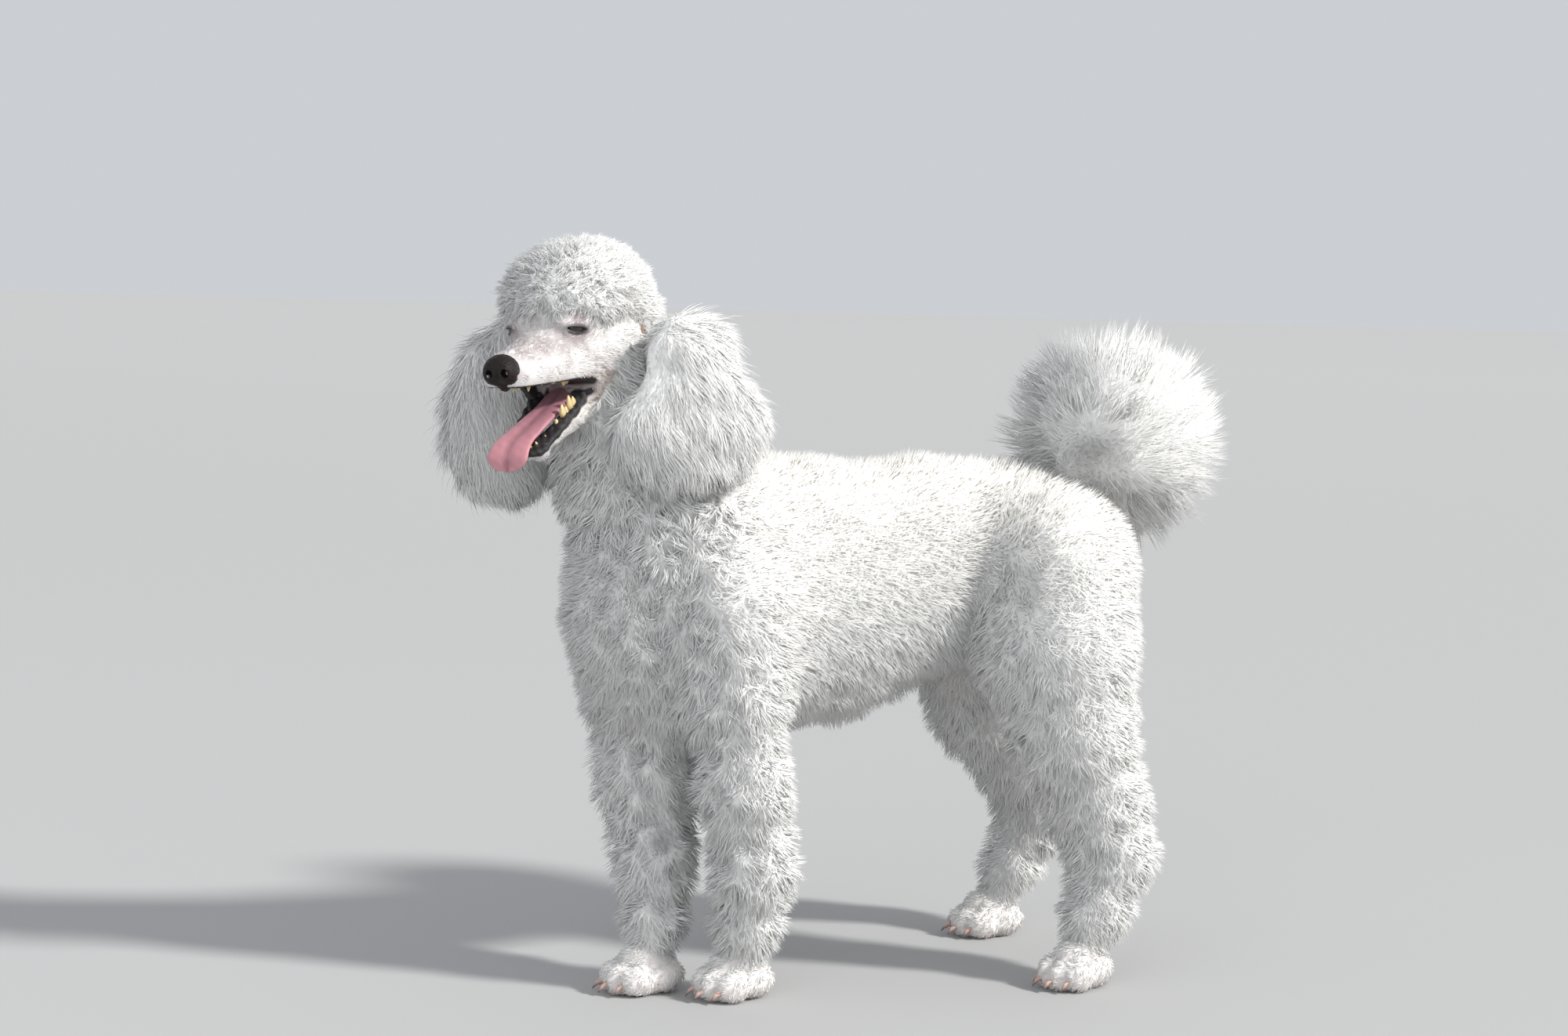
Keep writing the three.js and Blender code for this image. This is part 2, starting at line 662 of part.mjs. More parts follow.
addNode('trunk', trunkAlone, coatCream);
addNode('neck', neckAlone, coatWhite);
addNode('head', head, coatWhite);
addNode('lower_jaw', jaw, coatWhite);
addNode('nose', nose, noseLeather);
addNode('tongue', tongue, tongueFlesh);
for (const [name, eye] of Object.entries(eyes)) addNode(name, eye, eyeDark);
addNode('topknot', topknot, coatWhite);
for (const [name, field] of Object.entries(EARS)) {
  const whole = solidFrom(field, ...BOX.ears, CELL.ear);
  addNode(name, mainBody(whole.subtract(core).subtract(aroundTopknot)), coatWhite);
}
addNode('tail', tail, coatWhite);
for (const name of Object.keys(LEGS)) {
  addNode(`leg_${name}`, legSolids[name], coatWhite);
  addNode(`paw_${name}`, pawSolids[name], coatWhite);
}

// The group stands with the middle of its bounding box over the origin.
const root = new THREE.Group();
root.name = 'standard_poodle';
for (const { name, solid, material } of nodes) {
  const mesh = new THREE.Mesh(geometryOf(solid), material);
  mesh.name = name;
  root.add(mesh);
}
const bounds = new THREE.Box3().setFromObject(root);
root.position.set(-(bounds.min.x + bounds.max.x) / 2, -(bounds.min.y + bounds.max.y) / 2, -bounds.min.z);
export default root;
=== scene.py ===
"""A standing white standard poodle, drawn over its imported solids.

Fields and strands are worked out in millimetres, with x = 0 under the withers, and moved to the frame at
the end. The head's own axes are forward, left and up from the middle of the eyes.
"""

import math

import bmesh
import bpy
import numpy as np
from mathutils import Matrix, Vector
from mathutils.kdtree import KDTree


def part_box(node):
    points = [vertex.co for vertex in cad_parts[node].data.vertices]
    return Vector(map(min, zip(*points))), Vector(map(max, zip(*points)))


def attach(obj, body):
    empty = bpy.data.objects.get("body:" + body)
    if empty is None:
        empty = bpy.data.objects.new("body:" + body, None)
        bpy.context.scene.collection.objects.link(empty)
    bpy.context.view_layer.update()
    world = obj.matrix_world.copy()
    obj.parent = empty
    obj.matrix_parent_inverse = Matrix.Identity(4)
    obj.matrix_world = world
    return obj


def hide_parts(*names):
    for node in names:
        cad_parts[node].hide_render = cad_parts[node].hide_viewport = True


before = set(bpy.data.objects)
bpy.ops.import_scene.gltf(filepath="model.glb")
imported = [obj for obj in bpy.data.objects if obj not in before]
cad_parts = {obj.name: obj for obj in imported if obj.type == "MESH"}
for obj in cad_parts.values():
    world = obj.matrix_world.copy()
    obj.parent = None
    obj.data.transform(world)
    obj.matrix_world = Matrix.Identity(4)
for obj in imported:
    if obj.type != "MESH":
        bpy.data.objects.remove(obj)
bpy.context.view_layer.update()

# Driving dimensions, in millimetres and degrees

MM = 0.001
HEAD_YAW = 43
HEAD_PITCH = 9
HEAD_TILT = 4
HEAD_REACH = 190
EYES_MIDDLE = np.array([-217.0, -55.0, 721.0])
EYE_BALL_CENTRE = np.array([-7.0, 33.0, -1.0])
EYE_SPOTS = [(-2.5, 36.0, 2.5), (0.5, -36.0, 2.5)]
EYE_SIZE = 10.5
EYE_REACH = 14
LID_THICKNESS = 1.0
LID_BULGE = 2.4
SLIT_HALF_LENGTH = 13.0
SLIT_HALF_HEIGHT = 1.7
SLIT_DEPTH = 6.0
WRINKLE_MIDDLE = (-10, -62)
WRINKLE_STEP = 7.5
WRINKLE_DEPTH = 1.3
MOUTH_APEX = (-44.0, -60.0)
UPPER_LIP_SLOPE = 0.105
LOWER_LIP_SLOPE = -0.42
MOUTH_ROUNDING = 34
MOUTH_BACK = -60
LIP_EDGE = 3.6

TONGUE_LINE = [(-34, 2, -69), (0, 0, -81), (30, -3, -90), (58, -6, -98), (80, -8, -105), (93, -9, -116),
               (95, -10, -131)]
TONGUE_HALF_WIDTH = 22.0
TONGUE_HALF_THICKNESS = 4.0
TONGUE_RINGS = 48
TONGUE_SIDES = 28

# Place along the jaw, width and height of the cheek teeth, and place, distance out and height of the canines
CHEEK_TEETH = {
    True: [(58, 6, -2.0), (44, 7, -2.0), (26, 9, -1.0), (8, 9, 2.5)],
    False: [(50, 6, -4.0), (38, 7, -3.0), (27, 8, 1.5), (14, 12, 9.5), (1, 12, 11.0)],
}
CANINES = {True: (80, 15, 3.0), False: (68, 12, 3.0)}
FAR_TEETH_DROP = 14.0
TOOTH_SHARES = [0, 0.35, 0.7, 0.9, 1.0]
TOOTH_TAPER = np.array([1.0, 1.0, 0.66, 0.34, 0.1])
CLAW_LINE = [(0, 0), (5, 0.6), (9, 2.6), (12.5, 6), (14, 9)]
CLAW_RADII = (3.6, 3.2, 2.5, 1.4, 0.3)

# The bare fold where each ear meets the cheek, in the head's axes for the left ear
EAR_FOLD = [(-100, 60, 14), (-103, 62, 0), (-105, 63, -15), (-105, 63, -30), (-105, 61, -44), (-104, 57, -57),
            (-102, 50, -68)]
EAR_FOLD_RADII = (1.0, 2.6, 3.6, 4.0, 3.4, 2.4, 0.8)
FOLD_STEPS = 25

TRUNK_COAT = 19
NECK_COAT = 20
LEG_COAT = 18
LEG_SKIN_LEAST = 15
FACE_COAT = 2.2
PAW_COAT = 2.2
MASS_OVERLAP = 6
SKIN_OFF_FLOOR = 0.5
LEG_BLEND = 26
NECK_BLEND = 30
BODY_BLEND = 34

BODY_CELL = 7.5
HEAD_CELL = 2.3
MASS_CELL = 6.0

CAMERA_PLACE = np.array([-1422.8, -3114.6, 804.7])
CAMERA_TURN = 26
CAMERA_DIP = 4.73
CAMERA_ROLL = 2.0
CAMERA_LENS = 72.0
FLOOR_HALF = 40.0

TUFT_PATCH = 0.003
# Painted shade: strands are painted darker towards the root, where the coat around them shades them
PAINTED_ROOT_SHADE = 0.92
SUBSURFACE_REACH = (0.006, 0.006, 0.006)
BUMP_HEIGHT = 0.0006

# How strands differ from one another, and how stray ones differ from the rest
LEAN_SPREAD = 9
LENGTH_RANGE = (0.86, 1.1)
TAPER = 0.55
STRAY_LEAN = 0.55
STRAY_LENGTH = 1.25
STRAY_WIDTH = 0.6
LOWEST_STRAND = 0.8

# Numbers of the skin's regions
TRUNK_PART, NECK_PART, FIRST_LEG, FACE_PART, PAW_PART = 0, 1, 2, 6, 7


# Frames of reference


def turn_about(axis, degrees):
    return np.array(Matrix.Rotation(math.radians(degrees), 3, axis))


HEAD_TURN = turn_about("Z", 180 + HEAD_YAW) @ turn_about("Y", HEAD_PITCH) @ turn_about("X", HEAD_TILT)


def from_head(points):
    return np.asarray(points, float) @ HEAD_TURN.T + EYES_MIDDLE


def to_head(points):
    return (points - EYES_MIDDLE) @ HEAD_TURN


def box_middle(node):
    low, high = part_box(node)
    return np.array((low + high) / 2)


def frame_shift():
    """The step in metres from the working origin to the frame's, found from where the eyes are."""
    eyes = (box_middle("eye_left") + box_middle("eye_right")) / 2
    return eyes - from_head(EYE_BALL_CENTRE * [1, 0, 1]) * MM


SHIFT = frame_shift()


def to_frame(points):
    return points * MM + SHIFT


# Distance fields: each is a function of an array of points that is negative inside the shape


def lengths(v):
    return np.sqrt(np.einsum("ij,ij->i", v, v))


def unit(v):
    return v / np.maximum(lengths(v), 1e-9)[:, None]


def egg(centre, radii, pitch=0):
    """An ellipsoid with its length tipped nose-down by pitch degrees."""
    c = math.cos(math.radians(pitch))
    s = math.sin(math.radians(pitch))
    radii = np.array(radii, np.float32)
    centre = np.array(centre, np.float32)

    def field(p):
        q = p - centre
        q = np.stack([q[:, 0] * c + q[:, 2] * s, q[:, 1], -q[:, 0] * s + q[:, 2] * c], 1)
        near = lengths(q / radii)
        return near * (near - 1) / np.maximum(lengths(q / radii**2), 1e-9)

    return field


def bone(a, ra, b, rb):
    """A cone with round ends."""
    a = np.array(a, np.float32)
    ab = np.array(b, np.float32) - a

    def field(p):
        q = p - a
        h = np.clip(q @ ab / (ab @ ab), 0, 1)
        return lengths(q - h[:, None] * ab) - ra - h * (rb - ra)

    return field


def soft_min(a, b, k):
    h = np.maximum(k - np.abs(a - b), 0) / k
    return np.minimum(a, b) - h * h * k / 4


def blend(k, *fields):
    def field(p):
        d = fields[0](p)
        for other in fields[1:]:
            d = soft_min(d, other(p), k)
        return d

    return field


def carve(k, solid, hole):
    return lambda p: -soft_min(-solid(p), hole(p), k)


def shrunk(field, by):
    return lambda p: field(p) + by


def limb(k, joints, coat=0, least=0):
    """Round bones between [x, y, z, radius] joints, thinner by the coat's depth."""
    radii = [max(j[3] - coat, least) for j in joints]
    pairs = zip(joints, joints[1:], radii, radii[1:])
    return blend(k, *[bone(a[:3], ra, b[:3], rb) for a, b, ra, rb in pairs])


def pair(make):
    return [make(-1), make(1)]


def in_head(field):
    return lambda p: field(to_head(p))


def nearest(*fields):
    return lambda p: np.minimum.reduce([f(p) for f in fields])


# The body's fields, as in the solids, with the coat's depth taken off for the skin

LEGS = {
    "front_left": dict(
        joints=[(-4, -76, 430, 68), (6, -79, 335, 59), (20, -83, 230, 54),
                (34, -82, 140, 50), (30, -78, 80, 40), (26, -76, 42, 26)],
        paw=(20, -76), toe_degrees=4,
    ),
    "front_right": dict(
        joints=[(-42, 58, 430, 90), (-42, 52, 335, 76), (-42, 36, 230, 62),
                (-42, 12, 140, 50), (-50, -10, 80, 38), (-54, -16, 42, 26)],
        paw=(-64, -20), toe_degrees=-4,
    ),
    "hind_left": dict(
        joints=[(404, -60, 462, 107), (398, -88, 372, 97), (410, -110, 285, 77), (440, -122, 205, 62),
                (460, -130, 145, 53), (436, -138, 84, 42), (420, -142, 42, 27)],
        paw=(412, -146), toe_degrees=8,
    ),
    "hind_right": dict(
        joints=[(400, 60, 470, 100), (392, 92, 372, 88), (424, 110, 285, 70), (486, 118, 205, 57),
                (506, 122, 145, 49), (476, 124, 84, 38), (460, 126, 42, 26)],
        paw=(450, 126), toe_degrees=-6,
    ),
}

NECK_JOINTS = [(-30, 0, 500, 116), (-84, -4, 575, 94), (-118, -6, 645, 80), (-138, -6, 705, 66)]


def trunk_field():
    return blend(
        36,
        egg((2, 0, 428), (172, 108, 172), -6),
        egg((120, 0, 438), (175, 106, 158)),
        egg((260, 0, 462), (150, 94, 136), 6),
        egg((372, 0, 484), (112, 98, 108), 8),
        bone((170, 0, 312), 24, (262, 0, 330), 15),
        *pair(lambda side: egg((18, side * 64, 420), (96, 52, 130), 12)),
    )


TRUNK = trunk_field()
NECK = limb(NECK_BLEND, NECK_JOINTS)
NECK_SKIN = limb(NECK_BLEND, NECK_JOINTS, NECK_COAT)
LEG_FIELDS = {name: limb(LEG_BLEND, leg["joints"]) for name, leg in LEGS.items()}
LEG_SKINS = {
    name: limb(LEG_BLEND, leg["joints"], LEG_COAT, LEG_SKIN_LEAST) for name, leg in LEGS.items()
}


def two_sided(core, legs, k):
    """The core with its left and right legs, which fillet into it but only touch each other."""
    sides = []
    for side in ("left", "right"):
        sides.append(blend(k, core, *[f for name, f in legs.items() if name.endswith(side)]))
    return nearest(*sides)


COAT_OF_BODY = two_sided(blend(BODY_BLEND, TRUNK, NECK), LEG_FIELDS, BODY_BLEND)


# Head

FACE_BULK = blend(
    14,
    egg((-60, 0, 2), (72, 56, 54)),
    egg((-96, 0, -40), (56, 54, 66)),
    *pair(lambda side: egg((-84, side * 36, -22), (44, 28, 46))),
    *pair(lambda side: egg((-40, side * 28, -36), (50, 30, 42), -10)),
    *pair(lambda side: egg((-10, side * 25, 5), (26, 18, 14))),
    *pair(lambda side: bone((-8, side * 10, -24), 29, (84, side * 6, -30), 20)),
    egg((88, 0, -31), (22, 23, 22)),
    *pair(lambda side: bone((-34, side * 25, -48), 16, (88, side * 12, -36), 12)),
    *pair(lambda side: bone((-66, side * 26, -74), 19, (66, side * 13, -109), 12)),
    egg((70, 0, -114), (18, 19, 12), 22),
)


def mouth_wedge(p):
    """The gap between the two lip lines, which meet at the corners of the mouth."""
    ahead = p[:, 0] - MOUTH_APEX[0]
    under = (p[:, 2] - MOUTH_APEX[1] - UPPER_LIP_SLOPE * ahead) / math.hypot(1, UPPER_LIP_SLOPE)
    over = (MOUTH_APEX[1] + LOWER_LIP_SLOPE * ahead - p[:, 2]) / math.hypot(1, LOWER_LIP_SLOPE)
    return -soft_min(-under, -over, MOUTH_ROUNDING)


THROAT = blend(8, egg((-38, 0, -74), (28, 27, 26)), egg((-18, -33, -72), (34, 11, 24)))
MOUTH = carve(3, blend(4, mouth_wedge, bone((60, 0, -90), 13, (-50, 0, -74), 18)), THROAT)
FACE = carve(3, FACE_BULK, MOUTH)
NOSE = blend(
    5,
    egg((104, 0, -22), (14, 18, 15)),
    *pair(lambda side: egg((107, side * 9, -26), (11, 10, 12))),
    egg((101, 0, -37), (9, 7, 9)),
)


# Paws

TOES = [(15, -23, (21, 13, 18)), (27, -9, (22, 13, 20)), (27, 9, (22, 13, 20)), (15, 23, (21, 13, 18))]


def paw_axes(leg):
    turn = turn_about("Z", 180 + leg["toe_degrees"])
    return turn, np.array([leg["paw"][0], leg["paw"][1], 0.0])


def paw_field(leg):
    turn, place = paw_axes(leg)
    local = blend(
        5,
        egg((-8, 0, 20), (38, 29, 24)),
        egg((2, 0, 34), (28, 23, 22)),
        *[egg((along, across, 17), radii, 8) for along, across, radii in TOES],
    )
    return lambda p: local((p - place) @ turn)


PAWS = {name: paw_field(leg) for name, leg in LEGS.items()}


def above_floor(field, height):
    return lambda p: -soft_min(-field(p), p[:, 2] - height, 3)


BODY_SKIN = blend(
    18,
    two_sided(blend(BODY_BLEND, shrunk(TRUNK, TRUNK_COAT), NECK_SKIN), LEG_SKINS, 30),
    in_head(shrunk(FACE, FACE_COAT)),
)
PAW_SKINS = [shrunk(paw, PAW_COAT) for paw in PAWS.values()]
WHOLE_SKIN = above_floor(blend(8, BODY_SKIN, *PAW_SKINS), SKIN_OFF_FLOOR)


# Meshes from fields


def spaced(low, high, fine_low, fine_high, coarse, fine):
    """Grid lines from low to high, close together between fine_low and fine_high."""
    spans = [(low, fine_low, coarse), (fine_low, fine_high, fine), (fine_high, high, coarse)]
    before, middle, after = (np.linspace(a, b, max(2, round((b - a) / step) + 1)) for a, b, step in spans)
    return np.concatenate([before, middle[1:], after[1:]])


def grid_points(axes, index):
    return np.stack([axes[d][index[d]] for d in range(3)], 1).astype(np.float32)


CORNERS = [(i & 1, (i >> 1) & 1, i >> 2) for i in range(8)]
EDGES = [(a, b) for a in range(8) for b in range(a + 1, 8) if bin(a ^ b).count("1") == 1]


def at_corner(array, corner, cells):
    """The array's values at the same corner of every cell."""
    return array[tuple(slice(c, c + n) for c, n in zip(corner, cells))]


def sampled(field, axes, stride=4):
    """The field on the grid, worked out in full only near the surface."""
    shape = tuple(len(a) for a in axes)
    coarse = [np.unique(np.append(np.arange(0, n, stride), n - 1)) for n in shape]
    ii = np.meshgrid(*coarse, indexing="ij")
    rough = field(grid_points(axes, [i.ravel() for i in ii])).reshape(ii[0].shape)
    cells = tuple(n - 1 for n in rough.shape)
    spans = np.ix_(*[np.diff(axes[d][coarse[d]]) for d in range(3)])
    diagonal = np.sqrt(spans[0] ** 2 + spans[1] ** 2 + spans[2] ** 2)
    wide = np.minimum.reduce([np.abs(at_corner(rough, c, cells)) for c in CORNERS]) < 1.1 * diagonal
    for axis in range(3):
        wide = wide | np.insert(np.delete(wide, -1, axis), 0, False, axis)
    owner = np.ix_(*[
        np.clip(np.searchsorted(coarse[d], np.arange(shape[d]), "right") - 1, 0, cells[d] - 1)
        for d in range(3)
    ])
    values = rough[:-1, :-1, :-1][owner].astype(np.float32)
    index = np.nonzero(wide[owner])
    values[index] = field(grid_points(axes, index))
    return values


def net(field, axes):
    """Vertices and quads of the field's surface: one vertex in each grid cell that it crosses."""
    values = sampled(field, axes)
    inside = values < 0
    cells = tuple(n - 1 for n in values.shape)
    count = sum(at_corner(inside, c, cells).astype(np.uint8) for c in CORNERS)
    active = np.nonzero((count > 0) & (count < 8))
    number = np.full(cells, -1, np.int64)
    number[active] = np.arange(len(active[0]))
    v = [values[active[0] + c[0], active[1] + c[1], active[2] + c[2]] for c in CORNERS]
    total = np.zeros((len(active[0]), 3))
    hits = np.zeros(len(active[0]))
    for a, b in EDGES:
        crossing = (v[a] < 0) != (v[b] < 0)
        t = v[a] / np.where(crossing, v[a] - v[b], 1)
        start = np.array(CORNERS[a])
        step = np.array(CORNERS[b]) - start
        total += crossing[:, None] * (start + t[:, None] * step)
        hits += crossing
    place = total / hits[:, None] + np.stack(active, 1)
    points = np.stack([np.interp(place[:, d], np.arange(len(axes[d])), axes[d]) for d in range(3)], 1)
    quads = []
    steps = np.eye(3, dtype=int)
    for axis in range(3):
        one, two = steps[axis - 2], steps[axis - 1]
        first = 1 - steps[axis]
        size = cells - first
        here = at_corner(inside, first, size)
        index = np.array(np.nonzero(here != at_corner(inside, (1, 1, 1), size)))
        base = index + first[:, None]
        quad = np.stack([number[tuple(base - off[:, None])] for off in (one + two, two, 0 * one, one)], 1)
        flip = ~here[tuple(index)]
        quad[flip] = quad[flip][:, ::-1]
        quads.append(quad)
    return points, np.concatenate(quads)


def slope(field, p, step=0.4):
    d = field(p)
    sides = [field(p + step * np.eye(3, dtype=np.float32)[a]) for a in range(3)]
    return d, np.stack([(s - d) / step for s in sides], 1)


def settled(field, points, rounds=2, most=1.5):
    """Points moved onto the field's surface."""
    p = points.astype(np.float32)
    for _ in range(rounds):
        d, g = slope(field, p)
        step = -d[:, None] * g / np.maximum((g * g).sum(1), 0.25)[:, None]
        p = p + np.clip(step, -most, most)
    return p


def normals_of(field, points):
    return unit(slope(field, points.astype(np.float32))[1])


def added(name, data):
    """A new object in the scene."""
    item = bpy.data.objects.new(name, data)
    bpy.context.scene.collection.objects.link(item)
    return item


def mesh_object(name, points, faces):
    """A smooth mesh object in the frame from points in millimetres and an array of faces of one size."""
    mesh = bpy.data.meshes.new(name)
    mesh.vertices.add(len(points))
    mesh.vertices.foreach_set("co", to_frame(points).astype(np.float32).ravel())
    size = faces.shape[1]
    mesh.loops.add(faces.size)
    mesh.loops.foreach_set("vertex_index", faces.astype(np.int32).ravel())
    mesh.polygons.add(len(faces))
    mesh.polygons.foreach_set("loop_start", np.arange(0, faces.size, size, dtype=np.int32))
    mesh.polygons.foreach_set("loop_total", np.full(len(faces), size, np.int32))
    mesh.polygons.foreach_set("use_smooth", np.full(len(faces), True))
    mesh.update(calc_edges=True)
    mesh.validate()
    return added(name, mesh)


def soften(piece, directions):
    """Gives the vertices shading normals of their own."""
    layer = piece.data.attributes.new("custom_normal", "FLOAT_VECTOR", "POINT")
    layer.data.foreach_set("vector", unit(directions).astype(np.float32).ravel())


def paint(piece, colours):
    """Gives each vertex its tint, which the materials read."""
    layer = piece.data.color_attributes.new("Tint", "FLOAT_COLOR", "POINT")
    rgba = np.concatenate([np.clip(colours, 0, 1), np.ones((len(colours), 1))], 1)
    layer.data.foreach_set("color", rgba.astype(np.float32).ravel())


# Weights between 0 and 1, and mixes by them


def ramp(value, low, high):
    return np.clip((value - low) / (high - low), 0, 1)


def bell(value, width):
    return np.exp(-((value / width) ** 2))


def mixed(base, colour, weight):
    weight = np.clip(weight, 0, 1)[:, None]
    return base * (1 - weight) + colour * weight


# Random helpers, all seeded


def chance(seed):
    return np.random.default_rng(seed)


def waves(points, size, seed, layers=3):
    """Smooth noise between about -1 and 1 with lumps of the given size."""
    rng = chance(seed)
    total = np.zeros(len(points))
    for _ in range(layers * 2):
        direction = rng.normal(size=3)
        direction /= np.linalg.norm(direction)
        bend = rng.normal(size=3)
        phase = rng.uniform(0, 2 * math.pi)
        warp = 0.8 * np.sin(points @ bend / (1.7 * size) + phase)
        total += np.sin(2 * math.pi * points @ direction / size + phase + warp)
    return total / math.sqrt(layers * 2)


def first_in_cells(places):
    """The index of the first place in each unit cell of a grid, in the order of the cells."""
    half, span = 4096, 8192
    key = np.floor(places).astype(np.int64) + half
    key = key[:, 0] * span * span + key[:, 1] * span + key[:, 2]
    return np.unique(key, return_index=True)[1]


def as_triangles(quads):
    return np.concatenate([quads[:, [0, 1, 2]], quads[:, [0, 2, 3]]])


def scattered(points, faces, keep, spacing, seed):
    """Points about spacing apart over the faces whose middles are kept, and the normals there."""
    tri = as_triangles(faces) if faces.shape[1] == 4 else faces
    a, b, c = (points[tri[:, i]] for i in range(3))
    chosen = keep((a + b + c) / 3)
    a, b, c = a[chosen], b[chosen], c[chosen]
    cross = np.cross(b - a, c - a)
    area = lengths(cross) / 2
    rng = chance(seed)
    wanted = int(area.sum() / spacing**2)
    tries = int(3.2 * wanted)
    pick = rng.choice(len(area), tries, p=area / area.sum())
    u, v = rng.random((2, tries))
    over = u + v > 1
    u[over], v[over] = 1 - u[over], 1 - v[over]
    spots = a[pick] + u[:, None] * (b - a)[pick] + v[:, None] * (c - a)[pick]
    first = np.sort(first_in_cells(spots / (0.92 * spacing)))
    return spots[first], unit(cross[pick][first])


# Strands


def across(v, n):
    """v laid into the plane whose normal is n."""
    return unit(v - n * np.einsum("ij,ij->i", v, n)[:, None])


def clump_numbers(spots, size, seed):
    """The number of the nearest of a set of spots about size apart, for each spot."""
    rng = chance(seed)
    first = first_in_cells((spots + rng.random(3) * size) / size)
    tree = KDTree(len(first))
    for i, spot in enumerate(spots[first]):
        tree.insert(spot, i)
    tree.balance()
    return np.array([tree.find(s)[1] for s in spots]), len(first)


def strand_faces(segments):
    """Triangles of one closed strand: rings of three points from the root up, and then its tip."""
    tip = 3 * segments
    last = tip - 3
    faces = [(2, 1, 0)]
    for a in range(last):
        b = a - a % 3 + (a + 1) % 3
        faces += [(a, b, b + 3), (a, b + 3, a + 3)]
    faces += [(last + c, last + (c + 1) % 3, tip) for c in range(3)]
    return np.array(faces)


def strands(name, roots, normals, flow, length, width, tint, uv, seed, lean, droop, swing, tousle, soft,
            curl=0.0, turns=1.0, segments=2, clump=9.0, pull=0.5, uneven=0.0, mottle=0.04, strays=0.0):
    """One mesh of closed three-sided tapering strands that lie along the flow.

    Strands lean and droop along it, swing off it one by one or, by tousle, a clump at a time, and curl.
    """
    rng = chance(seed)
    n = len(roots)
    side = np.cross(normals, flow)
    number, count = clump_numbers(roots, clump, seed + 1)
    swing = swing * rng.normal(0, 1, n) + tousle * rng.normal(0, 1, count)[number]
    length = length * (1 + uneven * rng.uniform(-1, 1, count)[number])
    stray = rng.random(n) < strays
    lean = np.radians(lean * np.where(stray, STRAY_LEAN, 1) + rng.normal(0, LEAN_SPREAD, n))
    along = unit(flow + swing[:, None] * side)
    start = unit(normals * np.cos(lean)[:, None] + along * np.sin(lean)[:, None])
    end = unit(start + droop * along)
    length = length * rng.uniform(*LENGTH_RANGE, n) * np.where(stray, STRAY_LENGTH, 1)
    t = np.linspace(0, 1, segments + 1)
    line = np.zeros((n, segments + 1, 3))
    line[:, 0] = roots - normals
    for s in range(segments):
        mix = (s + 0.5) / segments
        line[:, s + 1] = line[:, s] + unit(start * (1 - mix) + end * mix) * (length / segments)[:, None]
    swirl = (2 * math.pi * turns * t + rng.uniform(0, 2 * math.pi, n)[:, None])[:, :, None]
    line += curl * t[:, None] * (np.sin(swirl) * side[:, None] + np.cos(swirl) * normals[:, None])
    tips = line[:, -1]
    members = np.maximum(np.bincount(number, minlength=count), 1)[:, None]
    middle = np.stack([np.bincount(number, tips[:, d], count) for d in range(3)], 1) / members
    line += pull * t[:, None] ** 1.5 * (middle[number] - tips)[:, None]
    line[:, :, 2] = np.maximum(line[:, :, 2], LOWEST_STRAND)
    thick = 0.5 * (width * np.where(stray, STRAY_WIDTH, 1))[:, None] * (1 - t) ** TAPER
    rings = []
    spin = rng.uniform(0, 2 * math.pi, n)
    for s in range(segments):
        direction = unit(line[:, s + 1] - line[:, s])
        one = unit(np.cross(direction, normals + 0.01 * side))
        two = np.cross(direction, one)
        for corner in range(3):
            angle = spin + corner * 2 * math.pi / 3
            offset = np.cos(angle)[:, None] * one + np.sin(angle)[:, None] * two
            rings.append(line[:, s] + offset * thick[:, s, None])
    vertices = np.stack(rings + [line[:, -1]], 1)
    per = vertices.shape[1]
    faces = (strand_faces(segments) + per * np.arange(n)[:, None, None]).reshape(-1, 3)
    piece = mesh_object(name, vertices.reshape(-1, 3), faces)
    outward = np.concatenate([vertices[:, :-1] - np.repeat(line[:, :-1], 3, 1), along[:, None]], 1)
    outward /= np.maximum(np.linalg.norm(outward, axis=2, keepdims=True), 1e-9)
    soften(piece, (soft * normals[:, None] + (1 - soft) * outward).reshape(-1, 3))
    level = np.append(np.repeat(t[:-1], 3), 1)
    # Painted shade: each strand's colour darkens from tip to root, standing in for the shade deep in the coat
    shade = (PAINTED_ROOT_SHADE + (1 - PAINTED_ROOT_SHADE) * level)[:, None]
    vary = 1 + mottle * (rng.uniform(-1, 0.5, n) + rng.uniform(-1, 0.5, count)[number])
    paint(piece, (tint[:, None] * shade * vary[:, None, None]).reshape(-1, 3))
    patch = np.stack([np.append(np.tile([0, 0.5, 1], segments), 0.5), level], 1) - 0.5
    spots = (uv[:, None] + TUFT_PATCH * patch).reshape(-1, 2)
    layer = piece.data.uv_layers.new(name="OFBake")
    layer.data.foreach_set("uv", spots[faces.ravel()].astype(np.float32).ravel())
    print(f"{name}: {n} strands, {len(faces)} triangles")
    return piece


def round_map(points, centre, axis):
    """An unwrap of a round shape about an upright or lengthwise axis: angle and height, within 0 to 1."""
    q = points - centre
    others = [d for d in range(3) if d != axis]
    angle = np.arctan2(q[:, others[1]], q[:, others[0]]) / (2 * math.pi) + 0.5
    height = (q[:, axis] - q[:, axis].min()) / max(np.ptp(q[:, axis]), 1)
    return 0.01 + 0.98 * np.stack([height, angle], 1)


# Materials


def new_material(name):
    material = bpy.data.materials.new(name)
    material.use_nodes = True
    nodes = material.node_tree.nodes
    return material, nodes, material.node_tree.links, nodes["Principled BSDF"]


def noise_between(nodes, links, scale, low, high, detail=2):
    """A noise texture's own value, and its value spread between two numbers."""
    noise = nodes.new("ShaderNodeTexNoise")
    noise.inputs["Scale"].default_value = scale
    noise.inputs["Detail"].default_value = detail
    span = nodes.new("ShaderNodeMapRange")
    span.inputs["To Min"].default_value = low
    span.inputs["To Max"].default_value = high
    links.new(noise.outputs["Fac"], span.inputs["Value"])
    return noise.outputs["Fac"], span.outputs["Result"]


